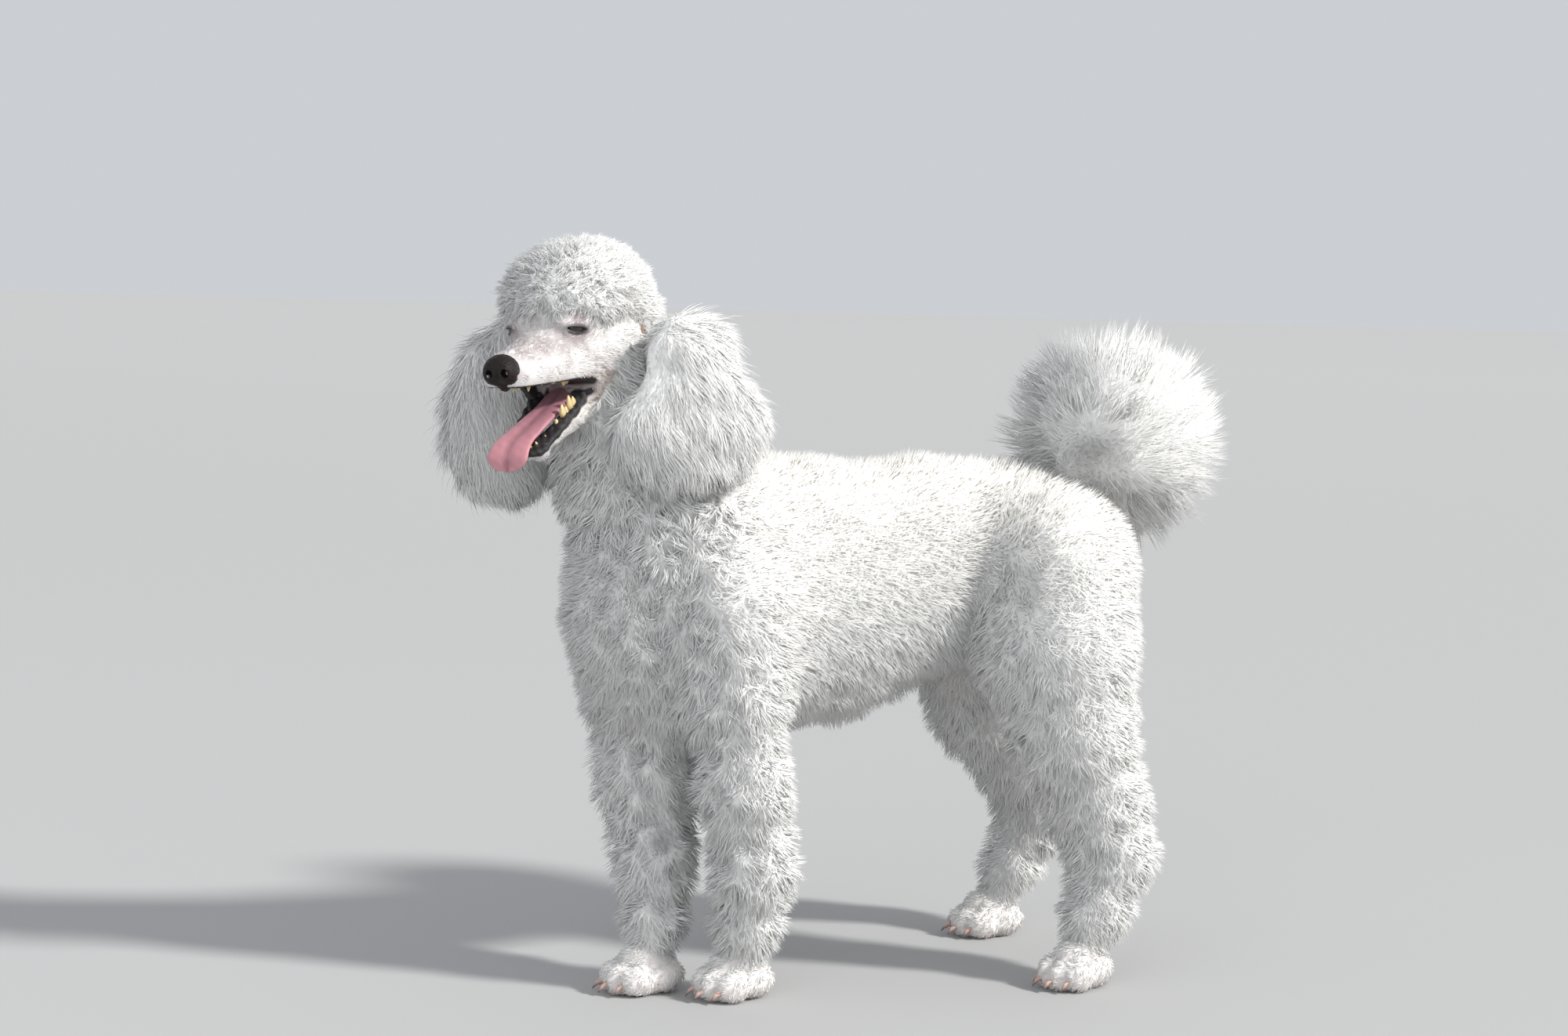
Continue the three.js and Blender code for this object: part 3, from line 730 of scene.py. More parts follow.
def tint_material(name, roughness, noise_scale, noise_depth, bump=0.0, sheen=0.0, subsurface=0.0, coat=0.0,
                  specular=0.5):
    """A material whose colour is the piece's painted tint with fine noise in it."""
    material, nodes, links, shader = new_material(name)
    tint = nodes.new("ShaderNodeAttribute")
    tint.attribute_name = "Tint"
    noise, spread = noise_between(nodes, links, noise_scale, 1 - noise_depth, 1 + 0.4 * noise_depth, 4)
    product = nodes.new("ShaderNodeVectorMath")
    product.operation = "MULTIPLY"
    links.new(tint.outputs["Color"], product.inputs[0])
    links.new(spread, product.inputs[1])
    links.new(product.outputs["Vector"], shader.inputs["Base Color"])
    settings = {
        "Roughness": roughness, "Specular IOR Level": specular, "Sheen Weight": sheen, "Coat Weight": coat,
        "Subsurface Weight": subsurface, "Subsurface Radius": SUBSURFACE_REACH,
    }
    for socket, value in settings.items():
        shader.inputs[socket].default_value = value
    if bump:
        relief = nodes.new("ShaderNodeBump")
        relief.inputs["Strength"].default_value = bump
        relief.inputs["Distance"].default_value = BUMP_HEIGHT
        links.new(noise, relief.inputs["Height"])
        links.new(relief.outputs["Normal"], shader.inputs["Normal"])
    return material


HAIR = tint_material("hair", 0.85, 60, 0.05, sheen=0.1, subsurface=0.7)
SKIN_LOOK = tint_material("skin", 0.62, 900, 0.14, bump=0.6)
SHORT_HAIR = tint_material("short_hair", 0.75, 60, 0.05, sheen=0.1, subsurface=0.2)
EYE_LOOK = tint_material("eye", 0.06, 200, 0.1, coat=0.5)
NOSE_LOOK = tint_material("nose", 0.34, 1400, 0.3, bump=0.5, specular=0.3)
TONGUE_LOOK = tint_material("tongue", 0.36, 1800, 0.12, bump=0.5, subsurface=0.25, coat=0.2)
TOOTH_LOOK = tint_material("tooth", 0.3, 400, 0.25, coat=0.3)
CLAW_LOOK = tint_material("claw", 0.42, 500, 0.15)

WHITE = np.array([0.96, 0.955, 0.935])
CREAM = np.array([0.96, 0.935, 0.87])
PINK_SKIN = np.array([0.62, 0.42, 0.38])
GROIN_SKIN = np.array([0.50, 0.34, 0.31])
GREY_SKIN = np.array([0.37, 0.315, 0.32])
LID_SKIN = np.array([0.03, 0.022, 0.022])
LIP_BLACK = np.array([0.016, 0.014, 0.015])
MOUTH_LINING = np.array([0.10, 0.022, 0.022])
EAR_EDGE_SKIN = np.array([0.40, 0.25, 0.20])
TAN = np.array([0.72, 0.60, 0.42])
EYE_DARK = np.array([0.012, 0.008, 0.006])
NOSE_BROWN = np.array([0.011, 0.0045, 0.004])
TONGUE_ROOT = np.array([0.50, 0.24, 0.30])
TONGUE_TIP = np.array([0.62, 0.27, 0.31])
TOOTH_IVORY = np.array([0.72, 0.55, 0.27])
CLAW_ROOT = np.array([0.62, 0.42, 0.36])
CLAW_TIP = np.array([0.10, 0.07, 0.06])


def place_piece(piece, material, slot, *nodes):
    piece.data.materials.append(material)
    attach(piece, "root")
    if nodes:
        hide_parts(*nodes)


def tinted_piece(name, points, faces, tint, material, slot, *nodes):
    """A piece painted in one colour, or in a colour for each point."""
    piece = mesh_object(name, points, faces)
    paint(piece, np.broadcast_to(tint, (len(points), 3)))
    place_piece(piece, material, slot, *nodes)


# Small shapes: meshes swept along a line


def tube_faces(rings, sides):
    """Quads round a tube of rings of points."""
    here = np.arange(sides)
    after = (here + 1) % sides
    start = sides * np.arange(rings - 1)[:, None]
    quads = [start + here, start + after, start + sides + after, start + sides + here]
    return np.stack(quads, 2).reshape(-1, 4)


def swept(line, radii, sides=8, flat=1.0):
    """Points and triangles of a closed tapering rod along a line, flattened across by flat."""
    line = np.array(line, float)
    ahead = unit(np.gradient(line, axis=0))
    one = unit(np.cross(ahead, (0.0, 1.0, 0.02)))[:, None]
    two = np.cross(ahead, one[:, 0])[:, None]
    angle = (2 * math.pi * np.arange(sides) / sides)[:, None]
    rims = np.array(radii)[:, None, None] * (np.cos(angle) * one + flat * np.sin(angle) * two)
    inner = np.arange(1, sides - 1)
    fan = np.stack([0 * inner, inner, inner + 1], 1)
    sheath = as_triangles(tube_faces(len(line), sides))
    faces = np.concatenate([sheath, fan[:, ::-1], (len(line) - 1) * sides + fan])
    return (line[:, None] + rims).reshape(-1, 3), faces


def joined(parts):
    """One set of points and faces from several."""
    starts = np.cumsum([0] + [len(points) for points, _ in parts])
    faces = [part_faces + start for (_, part_faces), start in zip(parts, starts)]
    return np.concatenate([points for points, _ in parts]), np.concatenate(faces)


def smooth_line(points, count):
    """Count points along a soft curve through the given ones."""
    points = np.array(points, float)
    knots = np.arange(len(points), dtype=float)
    t = np.linspace(0, len(points) - 1, count)
    index = np.clip(t.astype(int), 0, len(points) - 2)
    slopes = np.gradient(points, axis=0)
    u = (t - knots[index])[:, None]
    a, b = points[index], points[index + 1]
    da, db = slopes[index], slopes[index + 1]
    first = (2 * u**3 - 3 * u**2 + 1) * a + (u**3 - 2 * u**2 + u) * da
    return first + (3 * u**2 - 2 * u**3) * b + (u**3 - u**2) * db


# The skin


def refined(points, quads, rounds):
    """The mesh as triangles after faces are split in four where each round's function wants it."""
    mesh = bpy.data.meshes.new("rough")
    mesh.from_pydata(points.tolist(), [], quads.tolist())
    shape = bmesh.new()
    shape.from_mesh(mesh)
    for wanted in rounds:
        shape.faces.ensure_lookup_table()
        middles = np.array([f.calc_center_median() for f in shape.faces])
        edges = {e for i in np.nonzero(wanted(middles))[0] for e in shape.faces[i].edges}
        bmesh.ops.subdivide_edges(shape, edges=list(edges), cuts=1, use_grid_fill=True)
    bmesh.ops.triangulate(shape, faces=shape.faces[:])
    shape.to_mesh(mesh)
    shape.free()
    places = np.empty(3 * len(mesh.vertices))
    mesh.vertices.foreach_get("co", places)
    corners = np.empty(3 * len(mesh.polygons), np.int32)
    mesh.polygons.foreach_get("vertices", corners)
    bpy.data.meshes.remove(mesh)
    return places.reshape(-1, 3), corners.reshape(-1, 3)


def eye_frame(spot):
    """The middle of the eye on the skin, and its directions towards the nose, up and out."""
    side = math.copysign(1, spot[1])
    face = shrunk(FACE, FACE_COAT)
    middle = settled(face, np.array([spot]), 6)
    out = unit(normals_of(face, middle) + [0.55, 0.8 * side, 0.1])
    ahead = across(np.array([[1.0, -0.28 * side, 0.22]]), out)
    up = np.cross(out, ahead)
    return middle[0], ahead[0], up[0] * np.sign(up[0][2]), out[0]


EYES = [eye_frame(spot) for spot in EYE_SPOTS]


def eye_places(q):
    """For each eye: how far points lie ahead of its middle, above it and out of it."""
    return [tuple((q - middle) @ axis for axis in axes) for middle, *axes in EYES]


def eye_weight(q, reach):
    """1 at the eyes, 0 well off them."""
    places = eye_places(q)
    return sum(bell(np.hypot(ahead, above), reach) * bell(out, EYE_REACH) for ahead, above, out in places)


def slit_height(ahead):
    return SLIT_HALF_HEIGHT * np.sqrt(np.clip(1 - (ahead / SLIT_HALF_LENGTH) ** 2, 0, 1))


def lip_gap(q):
    """The distance in millimetres from the edge of the open mouth."""
    value, gradient = slope(mouth_wedge, q.astype(np.float32))
    return value / np.maximum(lengths(gradient), 0.2)


def lip_line(along, lip_slope):
    """The height of a lip's line at places along the head."""
    return MOUTH_APEX[1] + lip_slope * (along - MOUTH_APEX[0])


def wrinkle_radius(q):
    """The distance seen from the side from the middle of the wrinkles behind the mouth."""
    return np.hypot(q[:, 0] - WRINKLE_MIDDLE[0], q[:, 2] - WRINKLE_MIDDLE[1])


def face_relief(q):
    """How far the skin stands out at points in the head's axes: lids, creases, wrinkles and lips."""
    x, y, z = q.T
    total = np.zeros(len(q))
    for ahead, above, out in eye_places(q):
        high = slit_height(ahead)
        lids = LID_BULGE * bell(np.hypot(ahead, above), 13)
        slit = SLIT_DEPTH / (1 + np.exp(-(high - np.abs(above)) / 0.3)) * (high > 0)
        rim = 0.8 * bell(np.abs(above) - high - 1.3, 0.9) * bell(ahead, 12)
        fold = 0.9 * bell(above - 7.5 + 0.02 * ahead**2, 1.2) * bell(ahead, 13)
        bag = 0.7 * bell(above + 6.5 - 0.02 * ahead**2, 1.2) * bell(ahead, 12)
        total += bell(out, EYE_REACH) * (lids - slit + rim - fold - bag)
    back = wrinkle_radius(q)
    wrinkles = WRINKLE_DEPTH * np.sin(2 * math.pi * back / WRINKLE_STEP + 0.6 * waves(q, 22, 31))
    for side in (1, -1):
        behind = bell(back - 24, 13) * bell(y - side * 40, 16) * (x < -12) * (z > -84)
        total += behind * wrinkles
    lip = bell(lip_gap(q) - 2.5, 4.0) * (z < lip_line(x, LOWER_LIP_SLOPE) + 3)
    return total + lip * (1.6 + 0.9 * waves(q, 7, 32))


def body_relief(p):
    """Soft lumps under the coat: strongest on the neck and chest, least on the back and none on the paws."""
    x, _, z = p.T
    lumps = 1.2 + 1.9 * ramp(-x, -80, 40) * ramp(z, 60, 120) + 1.4 * ramp(-z, -400, -250)
    lumps *= ramp(z, 55, 90) * ramp(lengths(to_head(p)), 100, 170)
    return lumps * waves(p, 30, 36) * 0.8


def by_the_eyes(reach):
    return lambda p: np.minimum.reduce([lengths(to_head(p) - middle) for middle, *_ in EYES]) < reach


def by_the_features(p):
    """Whether points are near the eyes, the lips or the wrinkles behind the mouth."""
    q = to_head(p)
    lips = (np.abs(mouth_wedge(q)) < 7) & (q[:, 0] > MOUTH_BACK)
    return by_the_eyes(22)(p) | ((lips | (wrinkle_radius(q) < 40)) & (np.abs(FACE_BULK(q)) < 9))


SKIN_AXES = [
    spaced(-330, 575, -330, -150, BODY_CELL, HEAD_CELL),
    spaced(-215, 215, -150, 40, BODY_CELL, HEAD_CELL),
    spaced(-6, 790, 560, 790, BODY_CELL, HEAD_CELL),
]
skin_points, skin_faces = refined(*net(WHOLE_SKIN, SKIN_AXES), [by_the_features, by_the_eyes(17)])
skin_points = settled(WHOLE_SKIN, skin_points, 3)
skin_points += body_relief(skin_points)[:, None] * normals_of(WHOLE_SKIN, skin_points)
head_part = lengths(to_head(skin_points)) < HEAD_REACH
plain = skin_points[head_part]
skin_points[head_part] = plain + face_relief(to_head(plain))[:, None] * normals_of(WHOLE_SKIN, plain)
print(f"skin: {len(skin_faces)} triangles")


def region_of(points):
    """The number of the part of the body that is nearest."""
    p = points.astype(np.float32)
    near = [TRUNK(p) + TRUNK_COAT, NECK_SKIN(p)]
    near += [field(p) for field in LEG_SKINS.values()]
    near.append(in_head(FACE)(p) + FACE_COAT)
    near.append(nearest(*PAWS.values())(p) + PAW_COAT)
    return np.argmin(np.stack(near), 0)


def lip_band(q):
    """1 on the black edge of the lips, broad on the lower lip and round the corner, 0 well off it."""
    x, _, z = q.T
    lower = z < 0.5 * (lip_line(x, LOWER_LIP_SLOPE) + lip_line(x, UPPER_LIP_SLOPE))
    reach = np.where(lower, 7.2 + 1.2 * waves(q, 12, 33), 3.6 + 3.2 * ramp(-x, -25, 8))
    return 1 - ramp(lip_gap(q), reach - 0.8, reach + 0.8)


def bareness(q):
    """How much of the grey-mauve skin shows through the face's short hair."""
    x, _, z = q.T
    bridge = ramp(x, 10, 40) * ramp(z, -24, -8) * ramp(100 - x, 0, 10)
    muzzle = 0.22 * ramp(x, -50, 20) + 0.2 * waves(q, 22, 37)
    corner = 0.85 * bell(np.hypot(x + 22, z + 58), 22)
    under_eyes = 0.45 * bell(z + 16, 14) * bell(x - 8, 30)
    return np.clip(0.95 * eye_weight(q, 15) + 0.75 * bridge + muzzle + corner + under_eyes, 0, 1)


def groin_weight(points):
    """1 on the bare skin between the hind legs."""
    x, y, z = points.T
    return bell(x - 318, 34) * bell(z - 308, 30) * ramp(95 - np.abs(y), 0, 30)


def skin_tint(points):
    region = region_of(points)
    colour = np.tile(WHITE * 0.93, (len(points), 1))
    colour[region == PAW_PART] = 0.75 * WHITE + 0.25 * PINK_SKIN
    colour = mixed(colour, GROIN_SKIN, 0.85 * np.sqrt(groin_weight(points)))
    face = lengths(to_head(points)) < HEAD_REACH
    q = to_head(points[face])
    tint = mixed(colour[face], GREY_SKIN, (region[face] == FACE_PART) * (0.25 + 0.75 * bareness(q)))
    for ahead, above, out in eye_places(q):
        off = np.hypot(ahead / 19, above / 7.5)
        tint = mixed(tint, LID_SKIN, (1 - ramp(off, 0.5, 1.2)) * bell(out, EYE_REACH))
    on_mouth = q[:, 0] > MOUTH_BACK
    tint = mixed(tint, LIP_BLACK, lip_band(q) * on_mouth)
    inside = ramp(-FACE_BULK(q) - FACE_COAT, 8, 14)
    tint = mixed(tint, MOUTH_LINING, inside)
    colour[face] = mixed(tint, LIP_BLACK, (lip_gap(q) < LIP_EDGE) * (1 - inside) * on_mouth)
    return colour


FLESH = ["trunk", "neck", "head", "lower_jaw"]
FLESH += [f"{part}_{name}" for name in LEGS for part in ("leg", "paw")]
tinted_piece("skin", skin_points, skin_faces, skin_tint(skin_points), SKIN_LOOK, "coat_white", *FLESH)


# Eyes, nose, tongue, teeth and claws


def ball(radius, rings=20, sides=32):
    """Points and faces of a ball."""
    heights = np.linspace(-math.pi / 2, math.pi / 2, rings + 1)
    line = radius * np.sin(heights)[:, None] * [0, 0, 1]
    return swept(line, np.maximum(radius * np.cos(heights), 0.02), sides)


for name, (middle, ahead, up, out) in zip(("eye_left", "eye_right"), EYES):
    points, faces = ball(EYE_SIZE)
    points = points + middle + (LID_BULGE - LID_THICKNESS - EYE_SIZE) * out
    tinted_piece(name, from_head(points), faces, EYE_DARK, EYE_LOOK, "eye", name)

NOSE_HOLES = blend(
    1.5,
    *pair(lambda side: egg((115, side * 8.5, -25), (9, 3.3, 3.8))),
    *pair(lambda side: bone((115, side * 10, -27), 2.2, (100, side * 20, -31), 1.6)),
    bone((121, 0, -16), 0.5, (113, 0, -50), 1.0),
)
NOSE_FINE = carve(2.5, NOSE, NOSE_HOLES)
NOSE_AXES = [np.arange(low, high, 1.0) for low, high in ((86, 126), (-26, 27), (-56, 0))]
nose_points, nose_quads = net(NOSE_FINE, NOSE_AXES)
nose_points = settled(NOSE_FINE, nose_points)
nose_points += 0.22 * waves(nose_points, 2.6, 34)[:, None] * normals_of(NOSE_FINE, nose_points)
# Painted shade: the leather is painted darker inside the nostrils and just round them, where the holes lie in
# shade
nose_tint = mixed(NOSE_BROWN, 0.3 * NOSE_BROWN, 1 - ramp(NOSE_HOLES(nose_points), -0.5, 1.0))
tinted_piece("nose", from_head(nose_points), nose_quads, nose_tint, NOSE_LOOK, "nose_leather", "nose")


def tongue_mesh():
    """Points and faces of the tongue, with a groove along its upper side and a round end."""
    line = smooth_line(TONGUE_LINE, TONGUE_RINGS)
    lift = -unit(np.cross(unit(np.gradient(line, axis=0)), (0, -1, 0)))[:, None]
    t = np.linspace(0, 1, TONGUE_RINGS)[:, None]
    end = np.sqrt(np.maximum(1 - (np.maximum(t - 0.8, 0) / 0.2) ** 2.2, 0.002))
    width = TONGUE_HALF_WIDTH * (0.72 + 0.34 * ramp(t, 0.2, 0.85)) * end
    thick = TONGUE_HALF_THICKNESS * (1.15 - 0.3 * t) * np.sqrt(end)
    angle = 2 * math.pi * np.arange(TONGUE_SIDES) / TONGUE_SIDES
    wide = np.copysign(np.abs(np.cos(angle)) ** 0.8, np.cos(angle))
    high = np.copysign(np.abs(np.sin(angle)) ** 0.7, np.sin(angle))
    rise = high * thick + 1.4 * wide**2 - 2.2 * bell(wide, 0.16) * ramp(t, 0.1, 0.5) * (high > 0)
    points = line[:, None] + (wide * width)[:, :, None] * [0, 1, 0] + rise[:, :, None] * lift
    return points.reshape(-1, 3), tube_faces(TONGUE_RINGS, TONGUE_SIDES)[:, ::-1]


def tongue_tint(points):
    """Redder towards the tip, with painted shade along the groove on top and the matching line underneath,
    and a little blotchy.
    """
    round_it = np.cos(np.linspace(0, 2 * math.pi, TONGUE_SIDES, endpoint=False))
    # Painted shade: the middle line of the top, where the groove is, and of the underside are painted darker;
    # the blotches are the tongue's own
    shade = np.tile(1 - 0.35 * bell(round_it, 0.14), TONGUE_RINGS) * (1 + 0.06 * waves(points, 9, 35))
    return mixed(TONGUE_ROOT, TONGUE_TIP, ramp(points[:, 0], -20, 90)) * shade[:, None]


points, faces = tongue_mesh()
tinted_piece("tongue", from_head(points), faces, tongue_tint(points), TONGUE_LOOK, "tongue", "tongue")


def teeth(upper):
    """Cheek teeth, a canine and two front teeth on each side of one jaw, all joined."""
    reach = -1 if upper else 1
    lip_slope = UPPER_LIP_SLOPE if upper else LOWER_LIP_SLOPE
    parts = []

    def add_tooth(along, out, base, deep, tall, step, width, flat=0.75):
        root = np.array([along, out, base - deep * reach])
        tip = np.array([along + step[0], out + step[1], base + tall * reach])
        line = root + np.outer(TOOTH_SHARES, tip - root)
        parts.append(swept(line, width * TOOTH_TAPER, 8, flat))

    for side in (1, -1):
        low = FAR_TEETH_DROP if side < 0 and not upper else 0.0
        for along, width, height in CHEEK_TEETH[upper]:
            out = side * (10 + 0.18 * (78 - along))
            base = lip_line(along, lip_slope) - low
            for step, share in ((-0.45, 0.75), (0.35, 1.0)):
                place = along + step * width
                add_tooth(place, out, base, 4, height * share, (1, -0.5 * side), 0.45 * width, 0.6)
        along, out, height = CANINES[upper]
        base = lip_line(along, lip_slope)
        add_tooth(along - 3, side * out, base, 5, height, (5 if upper else 7, side), 2.8)
        for step in (3, 8):
            add_tooth(along + 9 - 0.3 * step, side * step, base, 3, 1.0, (1, 0), 2.0)
    return joined(parts)


for name, upper in (("teeth_upper", True), ("teeth_lower", False)):
    points, faces = teeth(upper)
    tinted_piece(name, from_head(points), faces, TOOTH_IVORY, TOOTH_LOOK, "coat_cream")


def claw_mesh(leg):
    """The four curved claws of a paw."""
    turn, place = paw_axes(leg)
    parts = []
    for along, side_step, radii in TOES:
        spread = side_step * 0.008
        root = np.array([along + radii[0] - 7, side_step, 13.0])
        ahead = np.array([math.cos(spread), math.sin(spread), 0])
        line = [root + ahead * step - np.array([0, 0, drop]) for step, drop in CLAW_LINE]
        points, faces = swept(line, CLAW_RADII, 10, 0.75)
        parts.append((points @ turn.T + place, faces))
    return joined(parts)


for name, leg in LEGS.items():
    points, faces = claw_mesh(leg)
    tint = mixed(CLAW_TIP, CLAW_ROOT, ramp(points[:, 2], 5, 12))
    claws = [f"claw_{name}_{i}" for i in (1, 2, 3, 4)]
    tinted_piece(f"claws_{name}", points, faces, tint, CLAW_LOOK, "claw", *claws)


def ear_fold(side):
    line = smooth_line(EAR_FOLD, FOLD_STEPS) * [1, side, 1]
    places = np.linspace(0, len(EAR_FOLD) - 1, FOLD_STEPS)
    return swept(line, np.interp(places, range(len(EAR_FOLD)), EAR_FOLD_RADII), 10)


points, faces = joined([ear_fold(1), ear_fold(-1)])
tinted_piece("ear_folds", from_head(points), faces, EAR_EDGE_SKIN, SKIN_LOOK, "coat_white")


# Long hair: the outlines of the topknot, ears and tail

MASSES = {
    "topknot": in_head(blend(20, egg((-80, 0, 28), (100, 80, 62), -4), egg((-128, 0, -12), (80, 78, 80)))),
    "ear_left": blend(
        24,
        egg((-80, -86, 702), (32, 30, 44)),
        egg((-54, -84, 704), (42, 30, 42)),
        egg((-66, -104, 664), (54, 38, 74), 34),
        egg((-80, -108, 618), (84, 38, 62)),
        egg((-30, -100, 630), (52, 30, 56), 40),
    ),
    "ear_right": blend(
        24,
        egg((-198, 46, 702), (40, 34, 46)),
        egg((-220, 64, 640), (60, 38, 82)),
        egg((-212, 66, 600), (66, 40, 74)),
    ),
    "tail": blend(
        16,
        limb(10, [(380, 0, 548, 30), (430, 0, 580, 26), (500, 0, 620, 24)]),
        egg((518, 0, 610), (128, 118, 128)),
    ),
}


def before_ear(points):
    """1 at the front edge of the near ear's upper half, where its hair is short."""
    x, _, z = points.T
    return ramp(-x, 88, 112) * ramp(z, 640, 670)


def in_masses(points):
    return nearest(*MASSES.values())(points.astype(np.float32)) < -MASS_OVERLAP


# The coat over the trunk, the neck and the legs


def grow(name, points, faces, kept, seeds, dress, look, centre=None, axis=2, *, spacing, **style):
    """Hair on the kept faces of a mesh: dress gives the flow, length, width and tint at its roots."""
    spots, normals = scattered(points, faces, kept, spacing, seeds[0])
    flow, length, width, tint = dress(spots)
    where = round_map(spots, spots.mean(0) if centre is None else centre, axis)
    flow = across(flow, normals)
    piece = strands(name, spots, normals, flow, length, width, tint, where, seeds[1], **style)
    place_piece(piece, look, "coat_white")


def coat_depth(points):
    return np.maximum(body_relief(points) - COAT_OF_BODY(points.astype(np.float32)), 3)


def coat_flow(points):
    """Backwards along the back and flanks, and downwards in front and on the legs, with slow swirls."""
    x, _, z = points.T
    high = ramp(z, 330, 470) * ramp(x, -90, 10)
    back = np.array([1.0, 0.0, -0.4])
    down = np.array([0.15, 0.0, -1.0])
    flow = high[:, None] * back + (1 - high)[:, None] * down
    return flow + 0.35 * waves(points, 55, 5)[:, None] * [0.6, 1, 0.5]


def body_tint(points):
    x, _, z = points.T
    top = ramp(z, 400, 560) * ramp(x, -40, 40)
    return mixed(WHITE, CREAM, 0.75 * top)


def body_coat(name, part, side, seed, centre, axis, rise, width, **style):
    """The coat of one part of the skin, on one side of the body or, with side 0, on both."""

    def kept(p):
        on_side = (side == 0) | (np.sign(p[:, 1]) == side)
        return (region_of(p) == part) & on_side & ~in_masses(p)

    def dress(p):
        bare = groin_weight(p)
        length = rise * coat_depth(p) * (1 - 0.75 * bare)
        return coat_flow(p), length, width * (1 - 0.5 * bare), body_tint(p)

    grow(name, skin_points, skin_faces, kept, (seed, seed), dress, HAIR, centre, axis, **style)


PLUSH = dict(spacing=3.5, width=1.5, rise=1.06, lean=20, droop=0.2, swing=0.8, pull=0.3, tousle=0.3,
             uneven=0.05, soft=0.9)
CURLY = dict(spacing=3.7, width=1.55, rise=1.4, lean=32, droop=0.8, swing=0.4, curl=2.0, turns=1.1,
             segments=3, clump=12, pull=0.55, tousle=0.9, uneven=0.14, soft=0.82)
FLUFFY = dict(spacing=4.0, width=1.6, rise=1.3, lean=28, droop=0.5, swing=0.6, clump=11, pull=0.4,
              tousle=0.6, uneven=0.1, soft=0.86)
TRUNK_MIDDLE = (200, 0, 450)
NECK_MIDDLE = (-90, 0, 600)
body_coat("coat_trunk_left", TRUNK_PART, -1, 10, TRUNK_MIDDLE, 0, **PLUSH)
body_coat("coat_trunk_right", TRUNK_PART, 1, 12, TRUNK_MIDDLE, 0, **PLUSH)
body_coat("coat_neck", NECK_PART, 0, 14, NECK_MIDDLE, 2, **CURLY)
for order, (name, leg) in enumerate(LEGS.items()):
    body_coat(f"coat_leg_{name}", FIRST_LEG + order, 0, 20 + order, leg["joints"][2][:3], 2, **FLUFFY)


# Short hair on the face and the paws


def off_fold(q, reach):
    """Whether points in the head's axes lie clear of the bare fold before each ear."""
    folded = np.stack([q[:, 0], np.abs(q[:, 1]), q[:, 2]], 1)
    return np.min([lengths(folded - spot) for spot in smooth_line(EAR_FOLD, FOLD_STEPS)], 0) > reach


def face_kept(p):
    q = to_head(p)
    kept = (region_of(p) == FACE_PART) & ~in_masses(p) & (lip_band(q) < 0.5) & (NOSE(q) > 1.0)
    kept &= (-FACE_BULK(q) - FACE_COAT < 4) & (mouth_wedge(q) > 1.0) & off_fold(q, 6)
    for ahead, above, out in eye_places(q):
        kept &= (np.hypot(ahead / (SLIT_HALF_LENGTH + 3), above / 4.6) > 1) | (np.abs(out) > 12)
    return kept


def face_dress(p):
    """Hair swept back from the nose, up over the eyes and down the cheeks, shorter by the eyes and lips."""
    q = to_head(p)
    x, y, z = q.T
    over_eyes = ramp(z, -4, 12) * ramp(-x, -40, 0)
    flow = np.stack([-np.ones(len(q)), 0.15 * np.sign(y), 0.5 * over_eyes - 0.55 * ramp(-z, 10, 60)], 1)
    flow += 0.3 * waves(q, 18, 62)[:, None] * [0.2, 0.4, 1]
    bare = bareness(q)
    length = 8.0 + 5.0 * ramp(-x, -30, 60) + 4.0 * over_eyes - 2.0 * bare
    length *= (1 - 0.55 * eye_weight(q, 17)) * (0.4 + 0.6 * ramp(lip_gap(q), 3, 14))
    length[~off_fold(q, 14)] *= 0.4
    length += 2.5 * ramp(lip_line(x, LOWER_LIP_SLOPE) - z, 4, 14) * ramp(x, 20, 60)
    tint = mixed(WHITE, GREY_SKIN * 1.35, bare * (0.72 + 0.4 * waves(q, 9, 63)))
    near_lips = bell(np.abs(mouth_wedge(q)) - 4, 7) * ramp(-x, -70, -30)
    return flow @ HEAD_TURN.T, length, 0.95, mixed(tint, TAN, 0.55 * near_lips)


def paw_kept(p):
    return (region_of(p) == PAW_PART) & (p[:, 2] > 3)


def paw_dress(p):
    flow = [-0.8, 0.0, -0.6] + 0.3 * waves(p, 16, 66)[:, None] * [0, 1, 0]
    tint = mixed(WHITE, PINK_SKIN, 0.25 * ramp(-p[:, 2], -22, -4))
    return flow, 8.0 + 4.0 * ramp(p[:, 2], 25, 50), 1.2, tint


FACE_STYLE = dict(spacing=1.95, lean=68, droop=1.2, swing=0.22, clump=7.5, pull=0.55, tousle=0.3, uneven=0.15,
                  soft=0.6, mottle=0.12)
PAW_STYLE = dict(spacing=2.8, lean=50, droop=0.9, swing=0.4, tousle=0.6, soft=0.4, mottle=0.08)
SHORT_COATS = [
    ("coat_face", face_kept, (61, 64), face_dress, FACE_STYLE),
    ("coat_paws", paw_kept, (65, 67), paw_dress, PAW_STYLE),
]
for name, kept, seeds, dress, style in SHORT_COATS:
    grow(name, skin_points, skin_faces, kept, seeds, dress, SHORT_HAIR, None, 0, **style)


# Topknot, ears and tail: a soft mass of hair inside, with the locks standing out of it

SILKY = dict(spacing=2.85, width=0.95, lean=64, droop=1.1, swing=0.2, curl=1.2, turns=0.5, segments=3,
             clump=16, pull=0.18, tousle=0.16, uneven=0.16, soft=0.88, mottle=0.05, reach=3.8, strays=0.05)
WOOLLY = dict(spacing=2.65, width=1.1, lean=22, droop=0.5, swing=0.5, curl=2.4, turns=1.0, segments=3,
              clump=8, pull=0.6, tousle=0.6, uneven=0.14, soft=0.82, reach=1.2, strays=0.03)
POMPON = dict(spacing=4.1, width=1.15, lean=16, droop=0.25, swing=0.8, curl=3.0, turns=0.6, segments=3,
              clump=14, pull=0.5, tousle=0.9, uneven=0.32, soft=0.72, reach=1.25, strays=0.05)

